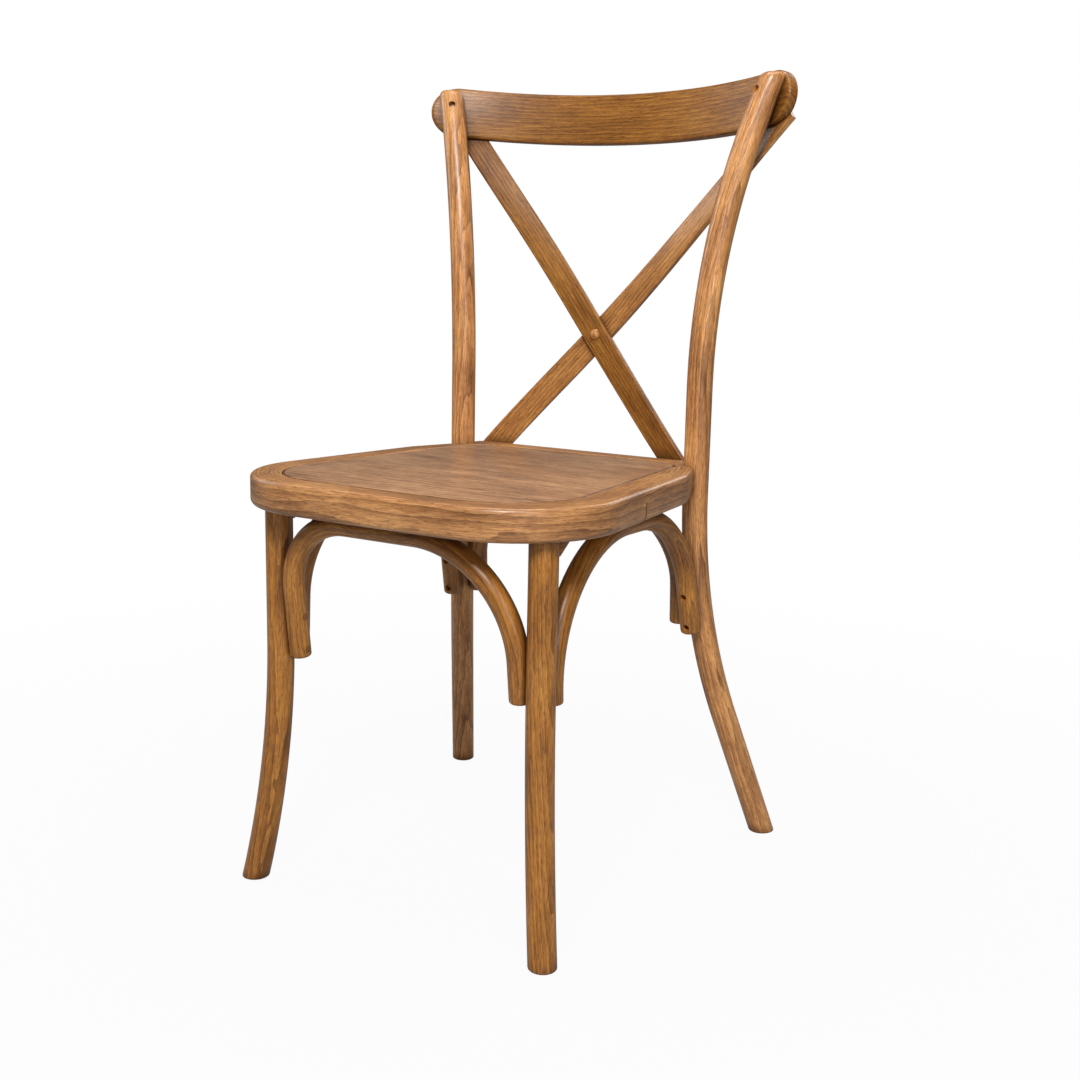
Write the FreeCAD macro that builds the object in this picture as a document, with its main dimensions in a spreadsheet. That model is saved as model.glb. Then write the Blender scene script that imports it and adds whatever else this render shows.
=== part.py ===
import FreeCAD, Part
import Sketcher
import math
import os
from FreeCAD import Placement, Rotation, Vector

# Cross back dining chair in bent wood, in millimetres.
# +X is the sitter's left to right seen from the front, +Y runs to the back and +Z is up.
# The origin is on the floor, in the middle of the chair's footprint.

doc = FreeCAD.newDocument("cross_back_chair")
sizes = doc.addObject("Spreadsheet::Sheet", "Sizes")

DRIVING = [
    # seat frame
    ("seat_height", 462, "floor to the top of the seat"),
    ("seat_thickness", 34, "depth of the bent frame"),
    ("seat_center_y", -47, "middle of the seat, front to back"),
    ("seat_depth", 432, "front edge to rear edge"),
    ("seat_front_width", 460, "across the front edge"),
    ("seat_rear_width", 382, "where the rear corners start to draw in"),
    ("seat_front_radius", 117, "plan radius of the front corners"),
    ("seat_side_radius", 45, "plan radius where the sides draw in"),
    ("seat_rear_radius", 9, "plan radius of the rear corners"),
    ("seat_corner_draw", 107, "rear edge to where the sides draw in"),
    ("seat_front_bow", 2.5, "rise of the front edge's curve"),
    ("seat_top_round", 5, "softened upper edge"),
    ("seat_bottom_round", 7, "softened lower edge"),
    ("seat_corner_inset", 5, "post's axis to the squared rear corner beside it"),
    ("seat_joint_y", -61, "lower shoulder of the lap joint in each side"),
    ("seat_joint_lap", 45, "length of the lap joint"),
    ("seat_joint_height", 21, "underside of the seat to the lap's bed"),
    # let-in panel
    ("panel_side_margin", 36, "visible width of the frame at the sides"),
    ("panel_front_margin", 27, "visible width of the frame at the front"),
    ("panel_rear_margin", 29, "visible width of the frame at the rear"),
    ("panel_front_radius", 88, "plan radius of the front corners"),
    ("panel_rear_radius", 38, "plan radius of the rear corners"),
    ("panel_thickness", 12, "moulded plywood panel"),
    ("panel_lip", 36, "ledge that the panel rests on"),
    ("panel_gap", 0.3, "clearance round the panel"),
    ("panel_chamfer", 1.2, "worked edge that makes the fine groove"),
    # back posts
    ("post_diameter", 29.4, "bent back post"),
    ("post_spread", 328.6, "between the axes at the seat"),
    ("post_inset", 32, "rear edge of the seat to the post's axis"),
    ("post_height", 898, "floor to the top of the post"),
    ("post_lower_radius", 725, "bend below the seat"),
    ("post_lower_drop", 270, "height of the bend below the seat"),
    ("post_lower_turn", 57, "degrees from +X to the way the foot goes"),
    ("post_upper_rise", 88, "top of the seat to where the back starts to rake"),
    ("post_upper_radius", 900, "bend above the seat"),
    ("post_upper_turn", 38.5, "degrees from +X to the way the top goes"),
    ("post_top_round", 8, "softened top end"),
    ("foot_chamfer", 1.5, "worked edge of each foot"),
    # front legs
    ("leg_diameter", 29.8, "bent front leg"),
    ("leg_spread", 338.5, "between the axes at the seat"),
    ("leg_inset", 64, "front edge of the seat to the leg's axis"),
    ("leg_bend_start", 280, "height where the leg starts to flare"),
    ("leg_bend_radius", 1250, "flare of the foot"),
    ("leg_turn", -45, "degrees from +X to the way the foot goes"),
    ("tenon_diameter", 20, "round tenon in the seat frame"),
    ("tenon_length", 20, "depth of the tenon"),
    # crest rail
    ("rail_height", 60.5, "depth of the rail on its face"),
    ("rail_thickness", 13.5, "thickness of the rail"),
    ("rail_length", 497, "end to end along the chord"),
    ("rail_radius", 416, "radius of the hollow front face"),
    ("rail_drop", 23.8, "top of the posts to the rail's middle line"),
    ("rail_tilt", 9.5, "degrees that the rail leans back"),
    ("rail_notch", 3.5, "depth that each post is let in for the rail"),
    ("rail_round", 3.5, "softened edges of the rail"),
    # crossing slats
    ("slat_width", 30.5, "width of each slat"),
    ("slat_thickness", 7, "thickness of each slat"),
    ("slat_round", 1.8, "softened edges of the slats"),
    ("slat_foot_rise", 10, "underside of the seat to the slats' lower ends"),
    ("slat_head_drop", 17, "rail's middle line to the slats' upper ends"),
    ("front_slat_foot_x", 133, "front slat at its lower end"),
    ("front_slat_head_x", -213, "front slat at its upper end"),
    ("rear_slat_foot_x", -156, "rear slat at its lower end"),
    ("rear_slat_head_x", 235, "rear slat at its upper end"),
    ("slat_low_bow", 18, "hollow of the back at the seat"),
    ("slat_mid_bow", 54, "hollow of the back half way up"),
    ("slat_high_bow", 47, "hollow of the back at the rail"),
    ("slat_mid_set", -42, "how far the middle of the back stands forward"),
    ("slat_half_span", 200, "half width over which the hollow is counted"),
    ("slat_pass_reach", 90, "height over which the slats make way for each other"),
    ("button_diameter", 14, "turned button over the crossing"),
    ("button_rise", 5, "height of the button's dome"),
    ("button_stem", 6, "stem of the button"),
    # bentwood arches
    ("arch_diameter", 23.6, "rod of the arches"),
    ("arch_cope", 1, "how far each end is hollowed to fit its leg"),
    ("arch_end_round", 3, "softened ends"),
    ("front_arch_drop", 170, "underside of the seat to the front arch's ends"),
    ("front_arch_left_radius", 80, "tighter corner"),
    ("front_arch_right_radius", 118, "wider corner"),
    ("front_arch_lean", 7, "degrees that the arch leans forward"),
    ("front_arch_set", 17, "how far its top stands in front of the legs"),
    ("side_arch_front_drop", 172, "underside of the seat to the side arch's front end"),
    ("side_arch_rear_drop", 160, "underside of the seat to the side arch's rear end"),
    ("right_arch_front_radius", 148, "right arch's front corner"),
    ("left_arch_front_radius", 95, "left arch's front corner"),
    ("side_arch_rear_radius", 115, "rear corner of both"),
    ("side_arch_rear_turn", 12, "degrees that the rear end spreads with the post"),
    ("side_arch_lean", 2, "degrees that the arch leans inwards"),
    ("side_arch_inset", 3, "how far the front end stands inside the leg's axis"),
    ("rear_arch_drop", 157, "underside of the seat to the rear arch's ends"),
    ("rear_arch_radius", 100, "both corners"),
    ("rear_arch_lean", 3, "degrees that the arch leans forward"),
    # corner blocks behind the front legs
    ("block_length", 27, "reach behind the leg"),
    ("block_height", 19, "height under the seat"),
    ("block_thickness", 20, "width of the block"),
    # fastenings
    ("screw_diameter", 4, "wood screw's shank"),
    ("screw_head", 7.6, "wood screw's head"),
    ("screw_head_height", 3, "wood screw's head"),
    ("counterbore", 8.2, "bore over a sunk head"),
    ("arch_screw_length", 26, "arch end into its leg"),
    ("arch_screw_low", 9, "end of the arch to its first screw"),
    ("arch_screw_pitch", 38, "first screw to second"),
    ("arch_bore_depth", 8, "sinking of the head at an arch end"),
    ("plug_sink", 0.6, "how far a plug lies under the arch's skin"),
    ("seat_screw_length", 36, "arch into the seat frame"),
    ("seat_screw_spacing", 60, "between an arch's two seat screws"),
    ("seat_screw_sink", 1.5, "sinking of the head under an arch"),
    ("rail_screw_length", 26, "post into the crest rail"),
    ("rail_screw_drop", 21, "top of the post to its screw"),
    ("rail_bore_depth", 9, "sinking of the head in the post"),
    ("slat_screw_length", 17, "slat into rail or seat frame"),
    ("slat_screw_inset", 9, "end of a slat to its screw"),
    ("slat_screw_sink", 0.2, "sinking of the head in a slat"),
    ("button_screw_length", 11, "screw into the button from behind"),
    ("bolt_diameter", 6, "lag bolt from the seat frame into a post"),
    ("bolt_head", 12, "lag bolt's head"),
    ("bolt_head_height", 4, "lag bolt's head"),
    ("bolt_length", 62, "lag bolt under its head"),
    ("bolt_height", 11, "underside of the seat to the bolt's axis"),
    ("bolt_reach", 6, "how far the bolt runs past the post's axis"),
    ("bolt_bore", 30, "bore in the frame for the bolt's head"),
    ("overcut", 1, "how far a bore's cutter stands clear of the surface"),
]
for row, (alias, number, note) in enumerate(DRIVING, start=1):
    sizes.set(f"A{row}", alias)
    sizes.set(f"B{row}", str(number))
    sizes.setAlias(f"B{row}", alias)
    sizes.set(f"C{row}", note)
doc.recompute()


def size(alias):
    """The number in the sheet's cell of that name."""
    return float(sizes.get(alias))


def plane(body, role):
    """One of a body's own origin planes."""
    return [f for f in body.Origin.OriginFeatures if f.Role == role][0]


def new_body(name):
    body = doc.addObject("PartDesign::Body", name)
    body.Label = name
    return body


def sketch_on(body, role, name, geometry, offset=Placement()):
    """A sketch on one of the body's own planes, holding the given curves."""
    sketch = body.newObject("Sketcher::SketchObject", name)
    sketch.AttachmentSupport = [(plane(body, role), "")]
    sketch.MapMode = "FlatFace"
    sketch.AttachmentOffset = offset
    sketch.addGeometry(geometry, False)
    return sketch


def pad(body, sketch, length):
    feature = body.newObject("PartDesign::Pad", sketch.Name + "_pad")
    feature.Profile = sketch
    feature.setExpression("Length", length)
    return feature


def pocket_through(body, sketch):
    """A cut right through, on both sides of the sketch."""
    feature = body.newObject("PartDesign::Pocket", sketch.Name + "_pocket")
    feature.Profile = sketch
    feature.Type = "ThroughAll"
    feature.Midplane = True
    return feature


def dressed(body, kind, edges, amount):
    """A fillet or chamfer on the edges of the body's last feature that pass the test."""
    doc.recompute()
    base = body.Tip
    names = [f"Edge{i}" for i, edge in enumerate(base.Shape.Edges, start=1) if edges(edge)]
    feature = body.newObject(f"PartDesign::{kind}", f"{body.Name}_{kind.lower()}")
    feature.Base = (base, names)
    feature.setExpression("Radius" if kind == "Fillet" else "Size", f"Sizes.{amount}")
    doc.recompute()
    return feature


def rounded_outline(corners):
    """Closed outline of lines and tangent arcs through corners given as (x, y, radius)."""
    joins = []
    for i, (x, y, radius) in enumerate(corners):
        here = Vector(x, y, 0)
        before = Vector(*corners[i - 1][:2], 0)
        after = Vector(*corners[(i + 1) % len(corners)][:2], 0)
        back = (before - here).normalize()
        onward = (after - here).normalize()
        if radius == 0:
            joins.append((here, None, here))
            continue
        half = back.getAngle(onward) / 2
        reach = radius / math.tan(half)
        inward = (back + onward).normalize()
        crown = here + inward * (radius / math.sin(half) - radius)
        joins.append((here + back * reach, crown, here + onward * reach))
    curves = []
    for i, (start, crown, end) in enumerate(joins):
        if crown is not None:
            curves.append(Part.Arc(start, crown, end))
        following = joins[(i + 1) % len(joins)][0]
        if (following - end).Length > 1e-6:
            curves.append(Part.LineSegment(end, following))
    return curves


def mirrored(label, source):
    """The left-hand piece of a pair."""
    twin = doc.addObject("Part::Mirroring", label)
    twin.Source = source
    twin.Normal = Vector(1, 0, 0)
    twin.Label = label
    return twin


def carved(label, base, tools):
    """The base with each tool's shape taken out, so that the pieces meet face to face."""
    result = base
    for i, tool in enumerate(tools, start=1):
        cut = doc.addObject("Part::Cut", f"{label}_cut{i}")
        cut.Base = result
        cut.Tool = tool
        result = cut
    result.Label = label
    return result


# Places that several pieces share
seat_top = size("seat_height")
seat_bottom = seat_top - size("seat_thickness")
seat_front_y = size("seat_center_y") - size("seat_depth") / 2
seat_rear_y = size("seat_center_y") + size("seat_depth") / 2
post_x = size("post_spread") / 2
post_y = seat_rear_y - size("post_inset")
post_radius = size("post_diameter") / 2
leg_x = size("leg_spread") / 2
leg_y = seat_front_y + size("leg_inset")
leg_radius = size("leg_diameter") / 2
arch_radius = size("arch_diameter") / 2
post_upper_start = seat_top + size("post_upper_rise")
rail_z = size("post_height") - size("rail_drop")
slat_foot_z = seat_bottom + size("slat_foot_rise")
slat_head_z = rail_z - size("slat_head_drop")


def post_axis(z):
    """Centre of the right back post at a height."""
    upper = max(z - post_upper_start, 0)
    lower = max(seat_bottom - z, 0)
    bend = min(lower, size("post_lower_drop"))
    radius = size("post_lower_radius")
    shift_low = radius - math.sqrt(radius**2 - bend**2)
    shift_low += (lower - bend) * bend / math.sqrt(radius**2 - bend**2)
    radius = size("post_upper_radius")
    shift_up = radius - math.sqrt(radius**2 - upper**2)
    low_turn = math.radians(size("post_lower_turn"))
    up_turn = math.radians(size("post_upper_turn"))
    x = post_x + shift_low * math.cos(low_turn) + shift_up * math.cos(up_turn)
    y = post_y + shift_low * math.sin(low_turn) + shift_up * math.sin(up_turn)
    return Vector(x, y, z)


def leg_axis(z):
    """Centre of the right front leg at a height."""
    drop = max(size("leg_bend_start") - z, 0)
    radius = size("leg_bend_radius")
    shift = radius - math.sqrt(radius**2 - drop**2)
    turn = math.radians(size("leg_turn"))
    return Vector(leg_x + shift * math.cos(turn), leg_y + shift * math.sin(turn), z)


# Seat frame
# Two lengths of wood bent to a ring and lapped together in each side, with a ledge for the panel.
def seat_outline():
    front = size("seat_front_width") / 2
    rear = size("seat_rear_width") / 2
    draw_y = seat_rear_y - size("seat_corner_draw")
    corner_x = post_x - size("seat_corner_inset")
    inside = 0.9 * post_radius
    meet = math.radians(77)
    bow_angle = math.atan2(size("seat_front_bow"), front)
    bow_radius = 0.8 * (front - size("seat_front_radius")) / math.tan(bow_angle)
    right = [
        (front, seat_front_y, size("seat_front_radius")),
        (rear, draw_y, size("seat_side_radius")),
        (post_x + inside * math.cos(meet), post_y - inside * math.sin(meet), 0),
        (corner_x, post_y, 0),
        (corner_x, seat_rear_y, size("seat_rear_radius")),
    ]
    left = [(-x, y, radius) for x, y, radius in reversed(right)]
    nose = [(0, seat_front_y - size("seat_front_bow"), bow_radius)]
    return rounded_outline(nose + right + left)


def panel_outline(inset):
    """The panel's outline drawn in by an amount from the frame's upper opening."""
    slope = (size("seat_front_width") - size("seat_rear_width")) / 2
    slope /= size("seat_depth") - size("seat_corner_draw")
    front_y = seat_front_y + size("panel_front_margin") + inset
    rear_y = seat_rear_y - size("panel_rear_margin") - inset
    side = size("seat_front_width") / 2 - size("panel_side_margin") - inset
    front_x = side - slope * (front_y - seat_front_y)
    rear_x = side - slope * (rear_y - seat_front_y)
    front_radius = size("panel_front_radius") - inset
    rear_radius = size("panel_rear_radius") - inset
    corners = [(front_x, front_y, front_radius), (rear_x, rear_y, rear_radius)]
    corners += [(-x, y, radius) for x, y, radius in reversed(corners)]
    return rounded_outline(corners)


def sketcher_radius(diameter, curve=0):
    """Holds a sketch's circle to half of a named diameter."""
    return Sketcher.Constraint("Radius", curve, size(diameter) / 2)


def at_height(expression):
    """Expressions that hold a sketch on the XY plane at a height."""
    return ("AttachmentOffset.Base.z", expression)


def seat_bow(name, front_part):
    body = new_body(f"{name}_blank")
    ring = sketch_on(body, "XY_Plane", f"{name}_ring", seat_outline() + panel_outline(size("panel_lip")))
    ring.setExpression(*at_height("Sizes.seat_height - Sizes.seat_thickness"))
    pad(body, ring, "Sizes.seat_thickness")
    doc.recompute()
    rebate = sketch_on(body, "XY_Plane", f"{name}_rebate", panel_outline(0))
    rebate.setExpression(*at_height("Sizes.seat_height"))
    cut = body.newObject("PartDesign::Pocket", f"{name}_rebate_pocket")
    cut.Profile = rebate
    cut.setExpression("Length", "Sizes.panel_thickness")
    doc.recompute()
    holes = [Part.Circle(Vector(side * post_x, post_y, 0), Vector(0, 0, 1), post_radius) for side in (-1, 1)]
    notches = sketch_on(body, "XY_Plane", f"{name}_notches", holes)
    for number in range(2):
        notches.addConstraint(sketcher_radius("post_diameter", number))
        notches.setExpression(f"Constraints[{number}]", "Sizes.post_diameter / 2")
    pocket_through(body, notches)
    doc.recompute()
    dressed(body, "Fillet", rim(body.Tip.Shape, seat_top), "seat_top_round")
    dressed(body, "Fillet", rim(body.Tip.Shape, seat_bottom), "seat_bottom_round")

    far = size("seat_depth")
    low_y = size("seat_joint_y")
    high_y = low_y + size("seat_joint_lap")
    bed = seat_bottom + size("seat_joint_height")
    end_y = low_y + far if front_part else low_y - far
    corners = [(low_y, seat_bottom - 5, 0), (low_y, bed, 0), (high_y, bed, 0), (high_y, seat_top + 5, 0)]
    corners += [(end_y, seat_top + 5, 0), (end_y, seat_bottom - 5, 0)]
    away = sketch_on(body, "YZ_Plane", f"{name}_lap", rounded_outline(corners))
    pocket_through(body, away)
    doc.recompute()
    return body


def rim(shape, height):
    """A test for the edges round the outside of a level face, less those in the post notches."""
    level = [face for face in shape.Faces
             if abs(face.BoundBox.ZMin - height) < 0.01 and abs(face.BoundBox.ZMax - height) < 0.01]
    widest = max(level, key=lambda face: face.BoundBox.XLength)
    outside = [edge.hashCode() for edge in widest.OuterWire.Edges]

    def test(edge):
        middle = edge.valueAt((edge.FirstParameter + edge.LastParameter) / 2)
        return edge.hashCode() in outside and not near_post(middle)
    return test


def near_post(point):
    """Whether a point of the outline lies in the notch for a back post."""
    return math.hypot(abs(point.x) - post_x, point.y - post_y) < post_radius + 1


front_bow = seat_bow("seat_front_bow", True)
rear_bow = seat_bow("seat_rear_bow", False)


# Seat panel
# A flush panel that lies in the frame's rebate, with a worked edge that shows as a fine groove.
panel = new_body("seat_panel")
panel_sketch = sketch_on(panel, "XY_Plane", "seat_panel_outline", panel_outline(size("panel_gap")))
panel_sketch.setExpression(*at_height("Sizes.seat_height - Sizes.panel_thickness"))
pad(panel, panel_sketch, "Sizes.panel_thickness")
dressed(panel, "Chamfer", lambda edge: edge.BoundBox.ZMin > seat_top - 0.01, "panel_chamfer")


# Bent posts and legs
def rod(body, name, path, diameter, turn, level):
    """A round rod from a height, swept along a path drawn in an upright plane turned from +X."""
    offset = Placement(Vector(), Rotation(Vector(0, 1, 0), turn))
    spine = sketch_on(body, "XZ_Plane", f"{name}_spine", path, offset)
    ring = Part.Circle(Vector(), Vector(0, 0, 1), size(diameter) / 2)
    profile = sketch_on(body, "XY_Plane", f"{name}_section", [ring])
    profile.setExpression(*at_height(level))
    profile.addConstraint(sketcher_radius(diameter))
    profile.setExpression("Constraints[0]", f"Sizes.{diameter} / 2")
    doc.recompute()
    pipe = body.newObject("PartDesign::AdditivePipe", f"{name}_pipe")
    pipe.Profile = profile
    pipe.Spine = (spine, [])
    doc.recompute()
    return pipe


def round_end(height):
    """A test for the edge round a rod's end at a height, at its upper or lower face."""
    def test(edge):
        box = edge.BoundBox
        return abs(box.ZMin - height) < 1.5 and abs(box.ZMax - height) < 1.5 and edge.Length > 40
    return test


def back_post(name):
    """Straight through the seat, bent out and back below it, raked and splayed above it."""
    body = new_body(f"{name}_blank")
    straight_top = post_upper_start
    ring = Part.Circle(Vector(0, 0, 0), Vector(0, 0, 1), post_radius)
    middle = sketch_on(body, "XY_Plane", f"{name}_middle", [ring])
    middle.setExpression(*at_height("Sizes.seat_height - Sizes.seat_thickness"))
    middle.addConstraint(sketcher_radius("post_diameter"))
    middle.setExpression("Constraints[0]", "Sizes.post_diameter / 2")
    pad(body, middle, "Sizes.post_upper_rise + Sizes.seat_thickness")
    doc.recompute()

    radius = size("post_lower_radius")
    drop = size("post_lower_drop")
    angle = math.asin(drop / radius)
    bend_end = Vector(radius - radius * math.cos(angle), seat_bottom - drop, 0)
    bend_mid = Vector(radius - radius * math.cos(angle / 2), seat_bottom - radius * math.sin(angle / 2), 0)
    foot = Vector(bend_end.x + bend_end.y * math.tan(angle), 0, 0)
    overrun = foot + Vector(math.tan(angle), -1, 0) * size("post_diameter")
    lower = [Part.Arc(Vector(0, seat_bottom, 0), bend_mid, bend_end), Part.LineSegment(bend_end, overrun)]
    turn = size("post_lower_turn")
    level = "Sizes.seat_height - Sizes.seat_thickness"
    rod(body, f"{name}_lower", lower, "post_diameter", turn, level)

    radius = size("post_upper_radius")
    rise = size("post_height") - straight_top + post_radius
    angle = math.asin(rise / radius)
    crown = Vector(radius - radius * math.cos(angle), straight_top + rise, 0)
    halfway = Vector(radius - radius * math.cos(angle / 2), straight_top + radius * math.sin(angle / 2), 0)
    upper = [Part.Arc(Vector(0, straight_top, 0), halfway, crown)]
    turn = size("post_upper_turn")
    rod(body, f"{name}_upper", upper, "post_diameter", turn, "Sizes.seat_height + Sizes.post_upper_rise")

    level_ends(body, name, "Sizes.post_height")
    dressed(body, "Fillet", round_end(size("post_height")), "post_top_round")
    dressed(body, "Chamfer", round_end(0), "foot_chamfer")
    body.Placement = Placement(Vector(post_x, post_y, 0), Rotation())
    return body


def level_ends(body, name, top_expression):
    """Saws the rod off level at the floor and, where a height is given, at its top."""
    reach = size("seat_depth")
    square = rounded_outline([(-reach, -reach, 0), (reach, -reach, 0), (reach, reach, 0), (-reach, reach, 0)])
    floor = sketch_on(body, "XY_Plane", f"{name}_floor", square)
    cut = body.newObject("PartDesign::Pocket", f"{name}_floor_cut")
    cut.Profile = floor
    cut.Length = reach
    doc.recompute()
    if top_expression is None:
        return
    top = sketch_on(body, "XY_Plane", f"{name}_top", square)
    top.setExpression(*at_height(top_expression))
    cut = body.newObject("PartDesign::Pocket", f"{name}_top_cut")
    cut.Profile = top
    cut.Length = reach
    cut.Reversed = True
    doc.recompute()


def front_leg(name):
    """Upright with a round tenon in the seat frame, flared towards its foot."""
    body = new_body(f"{name}_blank")
    ring = Part.Circle(Vector(0, 0, 0), Vector(0, 0, 1), leg_radius)
    shaft = sketch_on(body, "XY_Plane", f"{name}_shaft", [ring])
    shaft.setExpression(*at_height("Sizes.leg_bend_start"))
    shaft.addConstraint(sketcher_radius("leg_diameter"))
    shaft.setExpression("Constraints[0]", "Sizes.leg_diameter / 2")
    pad(body, shaft, "Sizes.seat_height - Sizes.seat_thickness - Sizes.leg_bend_start")
    doc.recompute()
    ring = Part.Circle(Vector(0, 0, 0), Vector(0, 0, 1), size("tenon_diameter") / 2)
    tenon = sketch_on(body, "XY_Plane", f"{name}_tenon", [ring])
    tenon.setExpression(*at_height("Sizes.seat_height - Sizes.seat_thickness"))
    pad(body, tenon, "Sizes.tenon_length")
    doc.recompute()

    radius = size("leg_bend_radius")
    start = size("leg_bend_start")
    angle = math.asin((start + leg_radius) / radius)
    foot = Vector(radius - radius * math.cos(angle), -leg_radius, 0)
    halfway = Vector(radius - radius * math.cos(angle / 2), start - radius * math.sin(angle / 2), 0)
    flare = [Part.Arc(Vector(0, start, 0), halfway, foot)]
    turn = size("leg_turn")
    rod(body, f"{name}_flare", flare, "leg_diameter", turn, "Sizes.leg_bend_start")
    level_ends(body, name, None)
    dressed(body, "Chamfer", round_end(0), "foot_chamfer")
    body.Placement = Placement(Vector(leg_x, leg_y, 0), Rotation())
    return body


leg_right_blank = front_leg("front_leg_right")
leg_left_blank = mirrored("front_leg_left_blank", leg_right_blank)
post_right_blank = back_post("back_post_right")
post_left_blank = mirrored("back_post_left_blank", post_right_blank)


# Crest rail
# Bent in one plane, leaning with the posts, with half-round ends that stand past them.
rail_angle = math.radians(size("rail_tilt"))
rail_anchor = post_axis(rail_z)
rail_hold = size("rail_radius") - post_radius + size("rail_notch")
rail_arc_y = -math.sqrt(rail_hold**2 - rail_anchor.x**2)
rail_placement = Placement(Vector(0, rail_anchor.y, rail_anchor.z), Rotation(Vector(1, 0, 0), -size("rail_tilt")))


def crest_rail():
    body = new_body("crest_rail_blank")
    inner = size("rail_radius")
    outer = inner + size("rail_thickness")
    reach = size("rail_length") / 2
    angle = math.asin((reach + size("rail_thickness")) / inner)

    def on_arc(radius, turn):
        return Vector(radius * math.sin(turn), rail_arc_y + radius * math.cos(turn), 0)

    band = [
        Part.Arc(on_arc(inner, -angle), on_arc(inner, 0), on_arc(inner, angle)),
        Part.LineSegment(on_arc(inner, angle), on_arc(outer, angle)),
        Part.Arc(on_arc(outer, angle), on_arc(outer, 0), on_arc(outer, -angle)),
        Part.LineSegment(on_arc(outer, -angle), on_arc(inner, -angle)),
    ]
    plan = sketch_on(body, "XY_Plane", "crest_rail_plan", band)
    plan.setExpression(*at_height("-Sizes.rail_height / 2"))
    pad(body, plan, "Sizes.rail_height")
    doc.recompute()

    deep = size("rail_height") / 2
    paddle = rounded_outline([(-reach, -deep, deep), (reach, -deep, deep),
                              (reach, deep, deep), (-reach, deep, deep)])
    waste = 2 * deep
    frame = rounded_outline([(-reach - waste, -waste, 0), (reach + waste, -waste, 0),
                             (reach + waste, waste, 0), (-reach - waste, waste, 0)])
    ends = sketch_on(body, "XZ_Plane", "crest_rail_ends", paddle + frame)
    pocket_through(body, ends)
    dressed(body, "Fillet", lambda edge: not isinstance(edge.Curve, Part.Line), "rail_round")
    body.Placement = rail_placement
    return body


def rail_slab():
    """The plain bent board of the rail, which each post is let in for."""
    drop = Vector(0, rail_arc_y, -size("rail_height") / 2)
    rings = []
    for word, radius in (("outer", "Sizes.rail_radius + Sizes.rail_thickness"), ("inner", "Sizes.rail_radius")):
        ring = doc.addObject("Part::Cylinder", f"rail_seat_{word}")
        ring.setExpression("Radius", radius)
        ring.setExpression("Height", "Sizes.rail_height")
        ring.Placement = rail_placement.multiply(Placement(drop, Rotation()))
        rings.append(ring)
    slab = doc.addObject("Part::Cut", "rail_seat")
    slab.Base, slab.Tool = rings
    return slab


rail_blank = crest_rail()


# Crossing slats
# Two bent strips that share the hollow of the back, one passing in front of the other.
def quadratic(low, middle, high, share):
    """The value at a share of the height of a curve through three values."""
    return (low * (1 - share) * (1 - 2 * share) + middle * 4 * share * (1 - share)
            + high * share * (2 * share - 1))


def slat_surface(x, z):
    """Depth of the back's hollow at a place, before each slat is fitted to its ends."""
    share = (z - slat_foot_z) / (slat_head_z - slat_foot_z)
    bow = quadratic(size("slat_low_bow"), size("slat_mid_bow"), size("slat_high_bow"), share)
    rail_y = rail_anchor.y + size("slat_thickness")
    middle = (seat_rear_y + rail_y) / 2 + size("slat_mid_set")
    stand = quadratic(seat_rear_y, middle, rail_y, share)
    return stand + bow * (1 - (x / size("slat_half_span"))**2)


def rail_rear_y(x, z):
    """Rear face of the crest rail at a place."""
    outer = size("rail_radius") + size("rail_thickness")
    local_y = rail_arc_y + math.sqrt(outer**2 - x**2)
    rise = (z - rail_anchor.z + local_y * math.sin(rail_angle)) / math.cos(rail_angle)
    return rail_anchor.y + local_y * math.cos(rail_angle) + rise * math.sin(rail_angle)


def slat_section(centre, tangent, normal):
    """A closed wire of the slat's rectangular section with softened edges."""
    across = tangent.cross(normal).normalize()
    deep = across.cross(tangent).normalize()
    width = size("slat_width") / 2
    thick = size("slat_thickness") / 2
    corners = [(-width, -thick), (width, -thick), (width, thick), (-width, thick)]
    rounded = [(x, y, size("slat_round")) for x, y in corners]
    edges = [curve.toShape() for curve in rounded_outline(rounded)]
    wire = Part.Wire(edges)
    placed = FreeCAD.Matrix(across.x, deep.x, tangent.x, centre.x,
                            across.y, deep.y, tangent.y, centre.y,
                            across.z, deep.z, tangent.z, centre.z, 0, 0, 0, 1)
    return wire.transformed(placed)


def crossing():
    """Where the two slats cross, seen from the front."""
    rise = slat_head_z - slat_foot_z
    foot_gap = size("front_slat_foot_x") - size("rear_slat_foot_x")
    head_gap = size("rear_slat_head_x") - size("front_slat_head_x")
    share = foot_gap / (foot_gap + head_gap)
    run = size("rear_slat_head_x") - size("rear_slat_foot_x")
    return size("rear_slat_foot_x") + share * run, slat_foot_z + share * rise


cross_x, cross_z = crossing()


def slat_point(foot_x, head_x, forward, share):
    """A point of the slat's middle line, and the way its face looks there."""
    thick = size("slat_thickness")
    foot_z = slat_foot_z
    head_z = slat_head_z
    x = foot_x + (head_x - foot_x) * share
    z = foot_z + (head_z - foot_z) * share
    at_foot = seat_rear_y + thick / 2 - slat_surface(foot_x, foot_z)
    at_head = rail_rear_y(head_x, head_z) + thick / 2 - slat_surface(head_x, head_z)
    fitted = slat_surface(x, z) + at_foot * (1 - share) + at_head * share
    near = math.exp(-((z - cross_z) / size("slat_pass_reach"))**2)
    fitted -= thick / 2 * near * (1 if forward else -1)
    step = 1.0
    slope_x = (slat_surface(x + step, z) - slat_surface(x - step, z)) / (2 * step)
    slope_z = (slat_surface(x, z + step) - slat_surface(x, z - step)) / (2 * step)
    slope_z += (at_head - at_foot) / (head_z - foot_z)
    return Vector(x, fitted, z), Vector(-slope_x, 1, -slope_z).normalize()


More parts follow.
